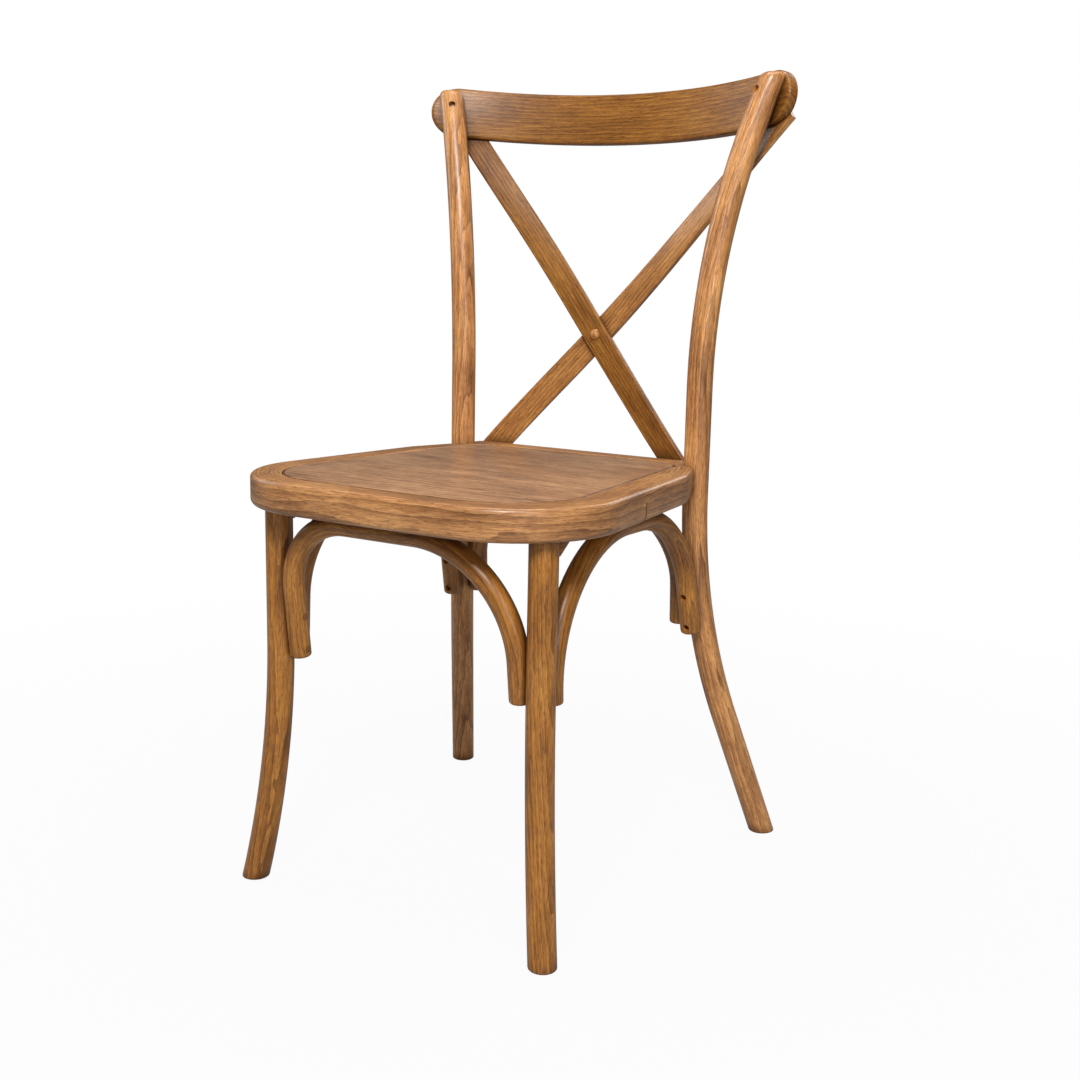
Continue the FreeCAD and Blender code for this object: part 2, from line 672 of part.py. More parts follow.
def slat(label, foot_x, head_x, forward):
    stations = 11
    step = 0.1 / stations
    wires = []
    for i in range(stations):
        share = i / (stations - 1)
        here, normal = slat_point(foot_x, head_x, forward, share)
        ahead, _ = slat_point(foot_x, head_x, forward, share + step)
        behind, _ = slat_point(foot_x, head_x, forward, share - step)
        tangent = (ahead - behind).normalize()
        wires.append(slat_section(here, tangent, normal))
    strip = doc.addObject("Part::Feature", label)
    strip.Shape = Part.makeLoft(wires, True, False, False)
    return strip


front_strip = slat("cross_slat_front_blank", size("front_slat_foot_x"), size("front_slat_head_x"), True)
rear_strip = slat("cross_slat_rear_blank", size("rear_slat_foot_x"), size("rear_slat_head_x"), False)


# Cross button
# A turned button whose stem runs through both slats at the crossing.
cross_here, cross_normal = slat_point(size("front_slat_foot_x"), size("front_slat_head_x"), True,
                                      (cross_z - slat_foot_z)
                                      / (slat_head_z - slat_foot_z))
button_seat = cross_here - cross_normal * (size("slat_thickness") / 2)
button_turn = Rotation(Vector(0, 0, 1), cross_normal)


def cross_button():
    body = new_body("cross_button_blank")
    half = size("button_diameter") / 2
    stem = size("button_stem") / 2
    deep = 2 * size("slat_thickness") - size("screw_head_height")
    rise = size("button_rise")
    dome = (half**2 + rise**2) / (2 * rise)
    turn = math.asin(half / dome) / 2
    brow = Vector(dome * math.sin(turn), dome - rise - dome * math.cos(turn), 0)
    half_section = [
        Part.LineSegment(Vector(0, -rise, 0), Vector(0, deep, 0)),
        Part.LineSegment(Vector(0, deep, 0), Vector(stem, deep, 0)),
        Part.LineSegment(Vector(stem, deep, 0), Vector(stem, 0, 0)),
        Part.LineSegment(Vector(stem, 0, 0), Vector(half, 0, 0)),
        Part.Arc(Vector(half, 0, 0), brow, Vector(0, -rise, 0)),
    ]
    sketch = sketch_on(body, "XZ_Plane", "cross_button_section", half_section)
    turned = body.newObject("PartDesign::Revolution", "cross_button_turned")
    turned.Profile = sketch
    turned.ReferenceAxis = (sketch, ["V_Axis"])
    turned.Angle = 360
    body.Placement = Placement(button_seat, button_turn)
    doc.recompute()
    return body


button_blank = cross_button()


# Bentwood arches
# A round rod bent to an upside-down U, with its flat top under the seat and its ends at the legs.
def arch_path(left_x, right_x, left_end, right_end, top, left_radius, right_radius, spread):
    """Up from the left end, over the top and down to the right end, in the arch's own plane."""
    turn = math.radians(spread)
    slant = math.sqrt(0.5)
    left_mid = Vector(left_x + left_radius * (1 - slant), top - left_radius * (1 - slant), 0)
    corner_z = top - right_radius * (1 - math.sin(turn))
    corner_x = right_x - (corner_z - right_end) * math.tan(turn)
    centre_x = corner_x - right_radius * math.cos(turn)
    halfway = (math.pi / 2 + turn) / 2
    right_mid = Vector(centre_x + right_radius * math.cos(halfway),
                       top - right_radius * (1 - math.sin(halfway)), 0)
    return [
        Part.LineSegment(Vector(left_x, left_end, 0), Vector(left_x, top - left_radius, 0)),
        Part.Arc(Vector(left_x, top - left_radius, 0), left_mid, Vector(left_x + left_radius, top, 0)),
        Part.LineSegment(Vector(left_x + left_radius, top, 0), Vector(centre_x, top, 0)),
        Part.Arc(Vector(centre_x, top, 0), right_mid, Vector(corner_x, corner_z, 0)),
        Part.LineSegment(Vector(corner_x, corner_z, 0), Vector(right_x, right_end, 0)),
    ]


def arch(name, left_x, right_x, left_end, right_end, left_radius, right_radius, placement, spread=0):
    """The bent rod, drawn with its top at height nought and set in place afterwards."""
    body = new_body(f"{name}_blank")
    top = -arch_radius
    path = arch_path(left_x, right_x, left_end, right_end, top, left_radius, right_radius, spread)
    spine = sketch_on(body, "XZ_Plane", f"{name}_spine", path)
    start = Placement(Vector(0, 0, left_end), Rotation())
    ring = Part.Circle(Vector(left_x, 0, 0), Vector(0, 0, 1), arch_radius)
    profile = sketch_on(body, "XY_Plane", f"{name}_section", [ring], start)
    profile.addConstraint(sketcher_radius("arch_diameter"))
    profile.setExpression("Constraints[0]", "Sizes.arch_diameter / 2")
    doc.recompute()
    pipe = body.newObject("PartDesign::AdditivePipe", f"{name}_pipe")
    pipe.Profile = profile
    pipe.Spine = (spine, [])
    doc.recompute()
    ends = [Vector(left_x, 0, left_end), Vector(right_x, 0, right_end)]

    def end_edge(edge):
        round_it = edge.Length > size("arch_diameter")
        return round_it and min((edge.CenterOfMass - end).Length for end in ends) < size("overcut")

    dressed(body, "Fillet", end_edge, "arch_end_round")
    body.Placement = placement
    return body


def arch_frame(x, y, heading, lean):
    """Stands an arch's plane at a place, turned to run along a heading and leaning over."""
    turned = Rotation(Vector(0, 0, 1), heading)
    leaned = Rotation(Vector(1, 0, 0), lean)
    return Placement(Vector(x, y, seat_bottom), turned.multiply(leaned))


arch_hold_leg = leg_radius + arch_radius - size("arch_cope")
arch_hold_post = post_radius + arch_radius - size("arch_cope")
fixing = size("arch_screw_low") + size("arch_screw_pitch") / 2

front_reach = leg_x - arch_hold_leg
front_drop = -size("front_arch_drop")
front_arch = arch("arch_front", -front_reach, front_reach, front_drop, front_drop,
                  size("front_arch_left_radius"), size("front_arch_right_radius"),
                  arch_frame(0, leg_y - size("front_arch_set"), 0, size("front_arch_lean")))

rear_drop = -size("rear_arch_drop")
rear_post = post_axis(seat_bottom + rear_drop + fixing)
rear_reach = rear_post.x - arch_hold_post
rear_top_y = rear_post.y - math.tan(math.radians(size("rear_arch_lean"))) * (seat_bottom - rear_post.z)
rear_arch = arch("arch_rear", -rear_reach, rear_reach, rear_drop, rear_drop,
                 size("rear_arch_radius"), size("rear_arch_radius"),
                 arch_frame(0, rear_top_y, 0, size("rear_arch_lean")))

side_front_drop = -size("side_arch_front_drop")
side_rear_drop = -size("side_arch_rear_drop")
side_spread = math.radians(size("side_arch_rear_turn"))
side_post = post_axis(seat_bottom + side_rear_drop + fixing)
side_front_x = leg_x - size("side_arch_inset")
side_front_y = leg_y + arch_hold_leg
side_rear_y = side_post.y - arch_hold_post + fixing * math.sin(side_spread)
side_length = math.hypot(side_post.x - side_front_x, side_rear_y - side_front_y)
side_heading = math.degrees(math.atan2(side_rear_y - side_front_y, side_post.x - side_front_x))
side_lean = math.tan(math.radians(size("side_arch_lean")))
side_top_x = side_front_x + side_lean * side_front_drop


def side_arch(name, front_radius):
    """Front end on the rear of the front leg, rear end on the front of the back post."""
    placement = arch_frame(side_top_x, side_front_y, side_heading, -size("side_arch_lean"))
    return arch(name, 0, side_length, side_front_drop, side_rear_drop, front_radius,
                size("side_arch_rear_radius"), placement, size("side_arch_rear_turn"))


right_arch = side_arch("arch_right", size("right_arch_front_radius"))
left_twin = side_arch("arch_left_twin", size("left_arch_front_radius"))
left_arch = mirrored("arch_left_blank", left_twin)


# Corner blocks
# A small three-cornered block glued behind each front leg, under the seat.
def corner_block(name):
    body = new_body(f"{name}_blank")
    near = leg_y
    far = leg_y + leg_radius + size("block_length")
    low = seat_bottom - size("block_height")
    corners = [(near, seat_bottom, 0), (far, seat_bottom, 0), (leg_y + leg_radius, low, 0), (near, low, 0)]
    middle = leg_x - size("block_thickness") / 2
    offset = Placement(Vector(0, 0, middle), Rotation())
    sketch = sketch_on(body, "YZ_Plane", f"{name}_side", rounded_outline(corners), offset)
    pad(body, sketch, "Sizes.block_thickness")
    doc.recompute()
    return body


block_right = corner_block("corner_block_right")


# Fastenings
def screw(name, at, direction, length, head="screw"):
    """A countersunk wood screw, or a lag bolt, with its head's face at a point."""
    bolt = head == "bolt"
    diameter = "bolt_diameter" if bolt else "screw_diameter"
    width = "bolt_head" if bolt else "screw_head"
    deep = "bolt_head_height" if bolt else "screw_head_height"
    cap = doc.addObject("Part::Cone", f"{name}_head")
    cap.setExpression("Radius1", f"Sizes.{width} / 2")
    cap.setExpression("Radius2", f"Sizes.{width} / 2" if bolt else f"Sizes.{diameter} / 2")
    cap.setExpression("Height", f"Sizes.{deep}")
    shank = doc.addObject("Part::Cylinder", f"{name}_shank")
    shank.setExpression("Radius", f"Sizes.{diameter} / 2")
    shank.setExpression("Height", f"Sizes.{length}")
    whole = doc.addObject("Part::Fuse", name)
    whole.Base = cap
    whole.Tool = shank
    whole.Placement = Placement(at, Rotation(Vector(0, 0, 1), direction))
    return whole


def total(terms):
    """The sum of named sizes, less those with a minus sign, as an expression and as a number."""
    signed = [(-1, term[1:]) if term.startswith("-") else (1, term) for term in terms]
    expression = " ".join(f"{'-' if sign < 0 else '+'} Sizes.{alias}" for sign, alias in signed)
    return expression.lstrip("+ "), sum(sign * size(alias) for sign, alias in signed)


def peg(name, inner_end, direction, diameter, *terms):
    """A cylinder that stands for a counterbore or for a plug that fills one."""
    expression, depth = total(terms)
    cylinder = doc.addObject("Part::Cylinder", name)
    cylinder.setExpression("Radius", f"Sizes.{diameter} / 2")
    cylinder.setExpression("Height", expression)
    cylinder.Placement = Placement(inner_end - direction * depth, Rotation(Vector(0, 0, 1), direction))
    return cylinder


def group(label, members):
    compound = doc.addObject("Part::Compound", label)
    compound.Links = members
    compound.Label = label
    return compound


def across(vector, side):
    """A vector of the right-hand half, or its mirror image for side -1."""
    return Vector(side * vector.x, vector.y, vector.z)


front_in = Vector(-1, 0, 0)
front_out = Vector(1, 0, 0)
spread_out = Vector(math.cos(side_spread), 0, math.sin(side_spread))
arch_ends = [
    # arch, its side of the chair, place of the end along it, lowest point, way in, bore left open
    ("front_left", front_arch, 1, -front_reach, front_drop, front_in, False),
    ("front_right", front_arch, 1, front_reach, front_drop, front_out, False),
    ("rear_left", rear_arch, 1, -rear_reach, rear_drop, front_in, False),
    ("rear_right", rear_arch, 1, rear_reach, rear_drop, front_out, False),
    ("left_front", left_twin, -1, 0, side_front_drop, front_in, False),
    ("left_rear", left_twin, -1, side_length, side_rear_drop, spread_out, True),
    ("right_front", right_arch, 1, 0, side_front_drop, front_in, False),
    ("right_rear", right_arch, 1, side_length, side_rear_drop, spread_out, True),
]
end_screws = []
end_bores = []
end_plugs = []
for word, body, side, along, lowest, into, is_open in arch_ends:
    upward = Vector(-into.z, 0, abs(into.x))
    for step in range(2):
        run = size("arch_screw_low") + step * size("arch_screw_pitch")
        skin = arch_radius - size("arch_bore_depth")
        spot = Vector(along, 0, lowest) + upward * run - into * skin
        at = across(body.Placement.multVec(spot), side)
        way = across(body.Placement.Rotation.multVec(into), side)
        mark = f"arch_{word}_{step + 1}"
        end_screws.append(screw(f"{mark}_screw", at, way, "arch_screw_length"))
        end_bores.append(peg(f"{mark}_bore", at, way, "counterbore", "arch_bore_depth", "overcut"))
        if not is_open:
            end_plugs.append(peg(f"{mark}_plug", at, way, "counterbore", "arch_bore_depth", "-plug_sink"))

seat_screws = []
seat_bores = []
upright = Vector(0, 0, 1)
side_flat_end = side_length - size("side_arch_rear_radius")
flat_tops = [
    # arch, its side of the chair, and where its flat top starts and ends along it
    ("front", front_arch, 1, size("front_arch_left_radius") - front_reach,
     front_reach - size("front_arch_right_radius")),
    ("rear", rear_arch, 1, size("rear_arch_radius") - rear_reach, rear_reach - size("rear_arch_radius")),
    ("left", left_twin, -1, size("left_arch_front_radius"), side_flat_end),
    ("right", right_arch, 1, size("right_arch_front_radius"), side_flat_end),
]
for word, body, side, flat_start, flat_end in flat_tops:
    along = (flat_start + flat_end) / 2
    for step in (-0.5, 0.5):
        low = -size("arch_diameter") + size("seat_screw_sink")
        spot = Vector(along + step * size("seat_screw_spacing"), 0, low)
        at = across(body.Placement.multVec(spot), side)
        mark = f"arch_seat_{word}_{'a' if step < 0 else 'b'}"
        seat_screws.append(screw(f"{mark}_screw", at, upright, "seat_screw_length"))
        seat_bores.append(peg(f"{mark}_bore", at, upright, "screw_head", "seat_screw_sink", "overcut"))

rail_screws = []
rail_bores = []
for side, word in ((-1, "left"), (1, "right")):
    axis = post_axis(size("post_height") - size("rail_screw_drop"))
    spoke = Vector(side * axis.x, -rail_arc_y, 0).normalize()
    way = Rotation(Vector(1, 0, 0), -size("rail_tilt")).multVec(spoke)
    at = across(axis, side) - way * (post_radius - size("rail_bore_depth"))
    rail_screws.append(screw(f"rail_screw_{word}", at, way, "rail_screw_length"))
    rail_bores.append(peg(f"rail_bore_{word}", at, way, "counterbore", "rail_bore_depth", "overcut"))


def slat_screw(name, foot_x, head_x, forward, share):
    here, normal = slat_point(foot_x, head_x, forward, share)
    at = here + normal * (size("slat_thickness") / 2 - size("slat_screw_sink"))
    bore = peg(f"{name}_bore", at, normal * -1, "screw_head", "slat_screw_sink", "overcut")
    return screw(name, at, normal * -1, "slat_screw_length"), bore


slat_fixings = []
screw_share = size("slat_screw_inset") / (slat_head_z - slat_foot_z)
for word, foot_x, head_x, forward in (
        ("front", size("front_slat_foot_x"), size("front_slat_head_x"), True),
        ("rear", size("rear_slat_foot_x"), size("rear_slat_head_x"), False)):
    for end, share in (("foot", screw_share), ("head", 1 - screw_share)):
        slat_fixings.append(slat_screw(f"slat_{word}_{end}_screw", foot_x, head_x, forward, share))

button_screw_at = button_seat + cross_normal * (2 * size("slat_thickness"))
cross_screw = screw("cross_screw", button_screw_at, cross_normal * -1, "button_screw_length")

post_bolts = []
bolt_bores = []
for side, word in ((-1, "left"), (1, "right")):
    way = Vector(side, 1, 0).normalize()
    axis = Vector(side * post_x, post_y, seat_bottom + size("bolt_height"))
    at = axis - way * (size("bolt_length") - size("bolt_reach"))
    post_bolts.append(screw(f"post_bolt_{word}", at, way, "bolt_length", "bolt"))
    bolt_bores.append(peg(f"bolt_bore_{word}", at, way, "bolt_head", "bolt_bore"))

end_screw_group = group("arch_end_screws", end_screws)
end_bore_group = group("arch_end_bores", end_bores)
end_plug_group = group("arch_end_plugs", end_plugs)
seat_screw_group = group("arch_seat_screws", seat_screws)
seat_bore_group = group("arch_seat_bores", seat_bores)
rail_screw_group = group("crest_rail_screws", rail_screws)
rail_bore_group = group("crest_rail_bores", rail_bores)
slat_screw_group = group("slat_screws", [screw_part for screw_part, _ in slat_fixings])
slat_bore_group = group("slat_bores", [bore for _, bore in slat_fixings])
bolt_group = group("post_bolts", post_bolts)
bolt_bore_group = group("post_bolt_bores", bolt_bores)
doc.recompute()


# Fitting the pieces to each other
rail = carved("crest_rail", rail_blank, [rail_screw_group, slat_screw_group])
button = carved("cross_button", button_blank, [cross_screw])
rail_seat = rail_slab()
post_right = carved("back_post_right", post_right_blank,
                    [rail_seat, rail_screw_group, rail_bore_group, end_screw_group, bolt_group])
post_left = mirrored("back_post_left", post_right)
leg_right = carved("front_leg_right", leg_right_blank, [end_screw_group])
leg_left = mirrored("front_leg_left", leg_right)
seat_front = carved("seat_front_bow", front_bow, [leg_left_blank, leg_right_blank, seat_screw_group])
seat_rear = carved("seat_rear_bow", rear_bow,
                   [seat_screw_group, slat_screw_group, bolt_group, bolt_bore_group])
slat_front = carved("cross_slat_front", front_strip,
                    [rail_blank, rear_bow, button_blank, slat_screw_group, slat_bore_group])
slat_rear = carved("cross_slat_rear", rear_strip,
                   [rail_blank, rear_bow, front_strip, button_blank, cross_screw,
                    slat_screw_group, slat_bore_group])
arch_tools = [end_screw_group, end_bore_group, seat_screw_group, seat_bore_group]
arch_front = carved("arch_front", front_arch, [leg_left_blank, leg_right_blank] + arch_tools)
arch_rear = carved("arch_rear", rear_arch, [post_left_blank, post_right_blank] + arch_tools)
arch_right = carved("arch_right", right_arch, [leg_right_blank, post_right_blank] + arch_tools)
arch_left = carved("arch_left", left_arch, [leg_left_blank, post_left_blank] + arch_tools)
corner_right = carved("corner_block_right", block_right, [leg_right_blank, right_arch])
corner_left = mirrored("corner_block_left", corner_right)
doc.recompute()


# Writing the pieces
KEPT = {
    "seat_front_bow": seat_front,
    "seat_rear_bow": seat_rear,
    "seat_panel": panel,
    "corner_block_left": corner_left,
    "corner_block_right": corner_right,
    "front_leg_left": leg_left,
    "front_leg_right": leg_right,
    "back_post_left": post_left,
    "back_post_right": post_right,
    "crest_rail": rail,
    "cross_slat_front": slat_front,
    "cross_slat_rear": slat_rear,
    "cross_button": button,
    "cross_screw": cross_screw,
    "arch_front": arch_front,
    "arch_rear": arch_rear,
    "arch_left": arch_left,
    "arch_right": arch_right,
    "arch_end_screws": end_screw_group,
    "arch_end_plugs": end_plug_group,
    "arch_seat_screws": seat_screw_group,
    "crest_rail_screws": rail_screw_group,
    "slat_screws": slat_screw_group,
    "post_bolts": bolt_group,
}
for item in doc.Objects:
    if "Invalid" in item.State or "Error" in item.State:
        raise RuntimeError(f"{item.Name} failed: {item.State}")
for name, item in KEPT.items():
    if item.Shape.isNull() or not item.Shape.isValid():
        raise RuntimeError(f"{name} has no valid shape")
os.makedirs("parts", exist_ok=True)
for name, item in KEPT.items():
    item.Shape.exportStep(f"parts/{name}.step")
    print(name, len(item.Shape.Solids), round(item.Shape.Volume))
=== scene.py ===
import math

import bmesh
import bpy
import numpy as np
from mathutils import Matrix, Vector


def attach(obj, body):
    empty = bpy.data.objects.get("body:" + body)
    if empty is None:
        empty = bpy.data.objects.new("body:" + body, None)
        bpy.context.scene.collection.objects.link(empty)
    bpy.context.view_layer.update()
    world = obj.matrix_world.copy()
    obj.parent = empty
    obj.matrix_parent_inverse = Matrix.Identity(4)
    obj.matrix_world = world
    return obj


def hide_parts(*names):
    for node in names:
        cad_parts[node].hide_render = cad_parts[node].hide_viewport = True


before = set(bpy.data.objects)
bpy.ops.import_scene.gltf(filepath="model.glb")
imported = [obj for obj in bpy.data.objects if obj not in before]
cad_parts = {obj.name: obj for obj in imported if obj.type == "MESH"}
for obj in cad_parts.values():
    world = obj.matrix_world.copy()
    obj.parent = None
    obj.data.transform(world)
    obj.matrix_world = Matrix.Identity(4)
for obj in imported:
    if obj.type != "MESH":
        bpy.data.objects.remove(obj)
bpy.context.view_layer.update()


# Seat frame
# Two lengths of elm, steamed and bent to one ring. They are lapped and glued in each side, with the
# lap's lower shoulder showing as a dark line, and the edges are rounded over by hand with a router.
SEAT_TOP = 0.462
SEAT_BOTTOM = 0.428
SEAT_FRONT = -0.263
SEAT_REAR = 0.169
SEAT_HALF = 0.230
SEAT_REAR_HALF = 0.191
SEAT_CORNER = 0.117
SIDE_END_Y = SEAT_REAR - 0.107
SEAT_TAPER = (SEAT_HALF - SEAT_REAR_HALF) / (SIDE_END_Y - SEAT_FRONT)
FRAME_FRONT = 0.027
FRAME_SIDE = 0.036
FRAME_REAR = 0.029
EDGE_OVER = 0.005
EDGE_UNDER = 0.007
GROOVE_EDGE = 0.0008
POST_X = 0.1643
POST_Y = 0.137
NOTCH_FRONT = 0.0129
PANEL_DEPTH = 0.012
REBATE_FRONT_CORNER = 0.088
REBATE_REAR_CORNER = 0.038
LIP = 0.036
LAP_LOW_Y = -0.061
LAP_HIGH_Y = -0.016
LAP_BED = 0.449
GLUE_LINE = 0.0003
SHOULDER_LINE = 0.0030


def rounded_line(corners, step):
    """Points at even steps along a closed outline through corners given as (x, y, radius)."""
    line = []
    for i, (x, y, radius) in enumerate(corners):
        here = Vector((x, y))
        back = (Vector(corners[i - 1][:2]) - here).normalized()
        onward = (Vector(corners[(i + 1) % len(corners)][:2]) - here).normalized()
        half = back.angle(onward) / 2
        reach = radius / math.tan(half)
        centre = here + (back + onward).normalized() * radius / math.sin(half)
        start = here + back * reach - centre
        sweep = math.pi - 2 * half
        turn = 1 if back.cross(onward) < 0 else -1
        parts = max(2, round(radius * sweep / step))
        for k in range(parts + 1):
            angle = turn * sweep * k / parts
            line.append(centre + Matrix.Rotation(angle, 2) @ start)
    even = []
    for i, point in enumerate(line):
        following = line[(i + 1) % len(line)]
        parts = max(1, round((following - point).length / step))
        even += [point.lerp(following, k / parts) for k in range(parts)]
    return np.array(even)


def panel_line(inset, step):
    """The outline of the panel's rebate, drawn in by an amount."""
    side = SEAT_HALF - FRAME_SIDE - inset
    front, rear = SEAT_FRONT + FRAME_FRONT + inset, SEAT_REAR - FRAME_REAR - inset
    right = [(side - SEAT_TAPER * (front - SEAT_FRONT), front, REBATE_FRONT_CORNER - inset),
             (side - SEAT_TAPER * (rear - SEAT_FRONT), rear, max(REBATE_REAR_CORNER - inset, 0.002))]
    left = [(-x, y, radius) for x, y, radius in reversed(right)]
    return rounded_line(right + left, step)


def nearest(points, line):
    """For each point, the nearest point of a dense line."""
    gaps = ((points[:, None, :] - line[None, :, :]) ** 2).sum(2)
    return line[gaps.argmin(1)]


def quarter(u, z, radius, start):
    """A rounded-over edge in a section, as points a quarter turn round (u, z)."""
    steps = 5
    turns = [start - math.pi / 2 * k / steps for k in range(steps + 1)]
    return [(u + radius * math.cos(t), z + radius * math.sin(t)) for t in turns]


def placed(name, mesh):
    """A mesh set into the scene as a piece."""
    piece = bpy.data.objects.new(name, mesh)
    bpy.context.scene.collection.objects.link(piece)
    return piece


def timber_mesh(name, vertices, faces, grain):
    """A mesh whose corners carry the timber's own coordinates: across, through and along."""
    mesh = bpy.data.meshes.new(name)
    mesh.from_pydata([tuple(v) for v in vertices], [], faces)
    layer = mesh.attributes.new("grain", "FLOAT_VECTOR", "CORNER")
    corner_points = np.empty(len(mesh.loops), dtype=np.int32)
    mesh.loops.foreach_get("vertex_index", corner_points)
    layer.data.foreach_set("vector", np.asarray(grain, dtype=np.float32)[corner_points].ravel())
    return placed(name, mesh)


def piece_of(shell, name):
    """A piece from a closed shell of faces."""
    bmesh.ops.recalc_face_normals(shell, faces=shell.faces)
    mesh = bpy.data.meshes.new(name)
    shell.to_mesh(mesh)
    shell.free()
    return placed(name, mesh)


def slab(outline, first, last):
    """A shell between two places on x, over an outline of (y, z) points."""
    shell = bmesh.new()
    walls = [[shell.verts.new((x, y, z)) for y, z in outline] for x in (first, last)]
    shell.faces.new(walls[0])
    shell.faces.new(reversed(walls[1]))
    for k in range(len(outline)):
        shell.faces.new((walls[0][k], walls[1][k], walls[1][k - 1], walls[0][k - 1]))
    return shell


def settled(piece):
    """Turns the result of a piece's modifiers into its own plain mesh."""
    bpy.context.view_layer.update()
    graph = bpy.context.evaluated_depsgraph_get()
    mesh = bpy.data.meshes.new_from_object(
        piece.evaluated_get(graph), preserve_all_data_layers=True, depsgraph=graph)
    piece.modifiers.clear()
    piece.data = mesh
    mesh.name = piece.name
    return piece


def cut_away(piece, cutter):
    """Takes a closed cutter out of a piece, as a saw or a drill does."""
    saw = piece.modifiers.new("cut", "BOOLEAN")
    saw.object = cutter
    saw.operation = "DIFFERENCE"
    saw.solver = "EXACT"
    saw.material_mode = "TRANSFER"
    settled(piece)
    bpy.data.objects.remove(cutter)
    return piece


def creased(piece, angle):
    """Smooth faces, with the edges that are sharper than an angle kept crisp."""
    piece.data.shade_smooth()
    piece.data.set_sharp_from_angle(angle=math.radians(angle))
    return piece


def feed(node, inputs):
    """Gives a node its numbers and its links, by the name or the number of the socket."""
    for key, value in inputs.items():
        if isinstance(value, bpy.types.NodeSocket):
            node.id_data.links.new(value, node.inputs[key])
        else:
            node.inputs[key].default_value = value
    return node


def add(tree, kind, inputs=None, **settings):
    """A node of a tree, with its settings, numbers and links."""
    node = tree.nodes.new(kind)
    for key, value in settings.items():
        setattr(node, key, value)
    return feed(node, inputs or {})


def ramp(tree, source, *stops):
    """Colours for a number, each given as (place, colour)."""
    node = add(tree, "ShaderNodeValToRGB", {"Fac": source})
    elements = node.color_ramp.elements
    for element, (place, colour) in zip(elements, stops[:2]):
        element.position, element.color = place, (*colour, 1)
    for place, colour in stops[2:]:
        elements.new(place).color = (*colour, 1)
    return node.outputs["Color"]


def new_material(name):
    """A material's tree and the surface that it starts with."""
    material = bpy.data.materials.new(name)
    material.use_nodes = True
    return material, material.node_tree, material.node_tree.nodes["Principled BSDF"]


def stained_elm(name, pith, drift, tone=1.0, grey=0.0, lacquer=0.42, corner_shade_share=0.90):
    """Elm under a brown stain and a satin lacquer, with rings and pores along the bent timber and painted
    shade in its corners.
    """
    material, tree, surface = new_material(name)
    grain = add(tree, "ShaderNodeAttribute", attribute_name="grain").outputs["Vector"]
    turn = (math.radians(drift), math.radians(drift * 0.6), 0)
    laid = add(tree, "ShaderNodeMapping", {"Location": pith, "Rotation": turn, "Vector": grain})

    def stretched(along):
        inputs = {"Scale": (1, 1, along), "Vector": laid.outputs["Vector"]}
        return add(tree, "ShaderNodeMapping", inputs).outputs["Vector"]

    def noise(along, scale, detail, roughness):
        inputs = {"Vector": stretched(along), "Scale": scale, "Detail": detail, "Roughness": roughness}
        return add(tree, "ShaderNodeTexNoise", inputs).outputs["Fac"]

    def blended(kind, share, below, above):
        factor, first, second, result = 0, 6, 7, 2
        inputs = {factor: share, first: below, second: above}
        return add(tree, "ShaderNodeMix", inputs, data_type="RGBA", blend_type=kind).outputs[result]

    def shade(red, green, blue):
        level = tone * (0.3 * red + 0.6 * green + 0.1 * blue)
        return tuple(tone * (1 - grey) * part + grey * level for part in (red, green, blue))

    rings = add(tree, "ShaderNodeTexWave",
                {"Vector": stretched(0.20), "Scale": 74, "Distortion": 8.0, "Detail": 3,
                 "Detail Scale": 0.45, "Detail Roughness": 0.55},
                wave_type="RINGS", rings_direction="Z", wave_profile="SAW")
    fibre = noise(0.050, 900, 3, 0.65)
    streaks = noise(0.090, 320, 2, 0.6)
    pores = noise(0.090, 1500, 2, 0.5)
    cloud = noise(0.30, 30, 4, 0.6)

    deep = shade(0.060, 0.019, 0.004)
    brown = shade(0.215, 0.080, 0.014)
    gold = shade(0.430, 0.176, 0.030)
    pale = shade(0.600, 0.278, 0.056)
    white = (1, 1, 1)
    ring_colour = ramp(tree, rings.outputs["Fac"], (0.0, pale), (0.40, gold), (0.82, brown), (0.94, deep))
    cloud_colour = ramp(tree, cloud, (0.32, brown), (0.50, gold), (0.68, pale))
    wood = blended("MIX", 0.40, cloud_colour, ring_colour)
    streak_shade = ramp(tree, streaks, (0.36, (0.62, 0.55, 0.48)), (0.62, (1.12, 1.10, 1.06)))
    wood = blended("MULTIPLY", 0.38, wood, streak_shade)
    fibre_shade = ramp(tree, fibre, (0.34, (0.52, 0.45, 0.40)), (0.60, (1.06, 1.05, 1.03)))
    wood = blended("MULTIPLY", 0.75, wood, fibre_shade)
    pore_shade = ramp(tree, pores, (0.35, (0.30, 0.22, 0.17)), (0.46, white))
    wood = blended("MULTIPLY", 0.60, wood, pore_shade)
    # Painted shade: the colour is darkened where ambient occlusion finds corners, crevices and joints.
    corners = add(tree, "ShaderNodeAmbientOcclusion", {"Distance": 0.022}, samples=8)
    painted_corner_shade = ramp(tree, corners.outputs["AO"], (0.25, (0.22, 0.15, 0.10)), (0.85, white))
    wood = blended("MULTIPLY", corner_shade_share, wood, painted_corner_shade)

    gloss = add(tree, "ShaderNodeMapRange", {"To Min": 0.50, "To Max": 0.34, "Value": fibre})
    relief = add(tree, "ShaderNodeBump", {"Strength": 0.22, "Distance": 0.0004, "Height": pore_shade})
    feed(surface, {"Base Color": wood, "Roughness": gloss.outputs["Result"],
                   "Normal": relief.outputs["Normal"], "Specular IOR Level": 0.22,
                   "Coat Weight": lacquer, "Coat Roughness": 0.27})
    return material


def fitted(piece, material, slot, *nodes):
    """Finishes a piece, lets it stand for its CAD nodes and fixes it to the chair."""
    piece.data.materials.clear()
    piece.data.materials.append(material)
    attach(piece, "root")
    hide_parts(*nodes)
    return piece


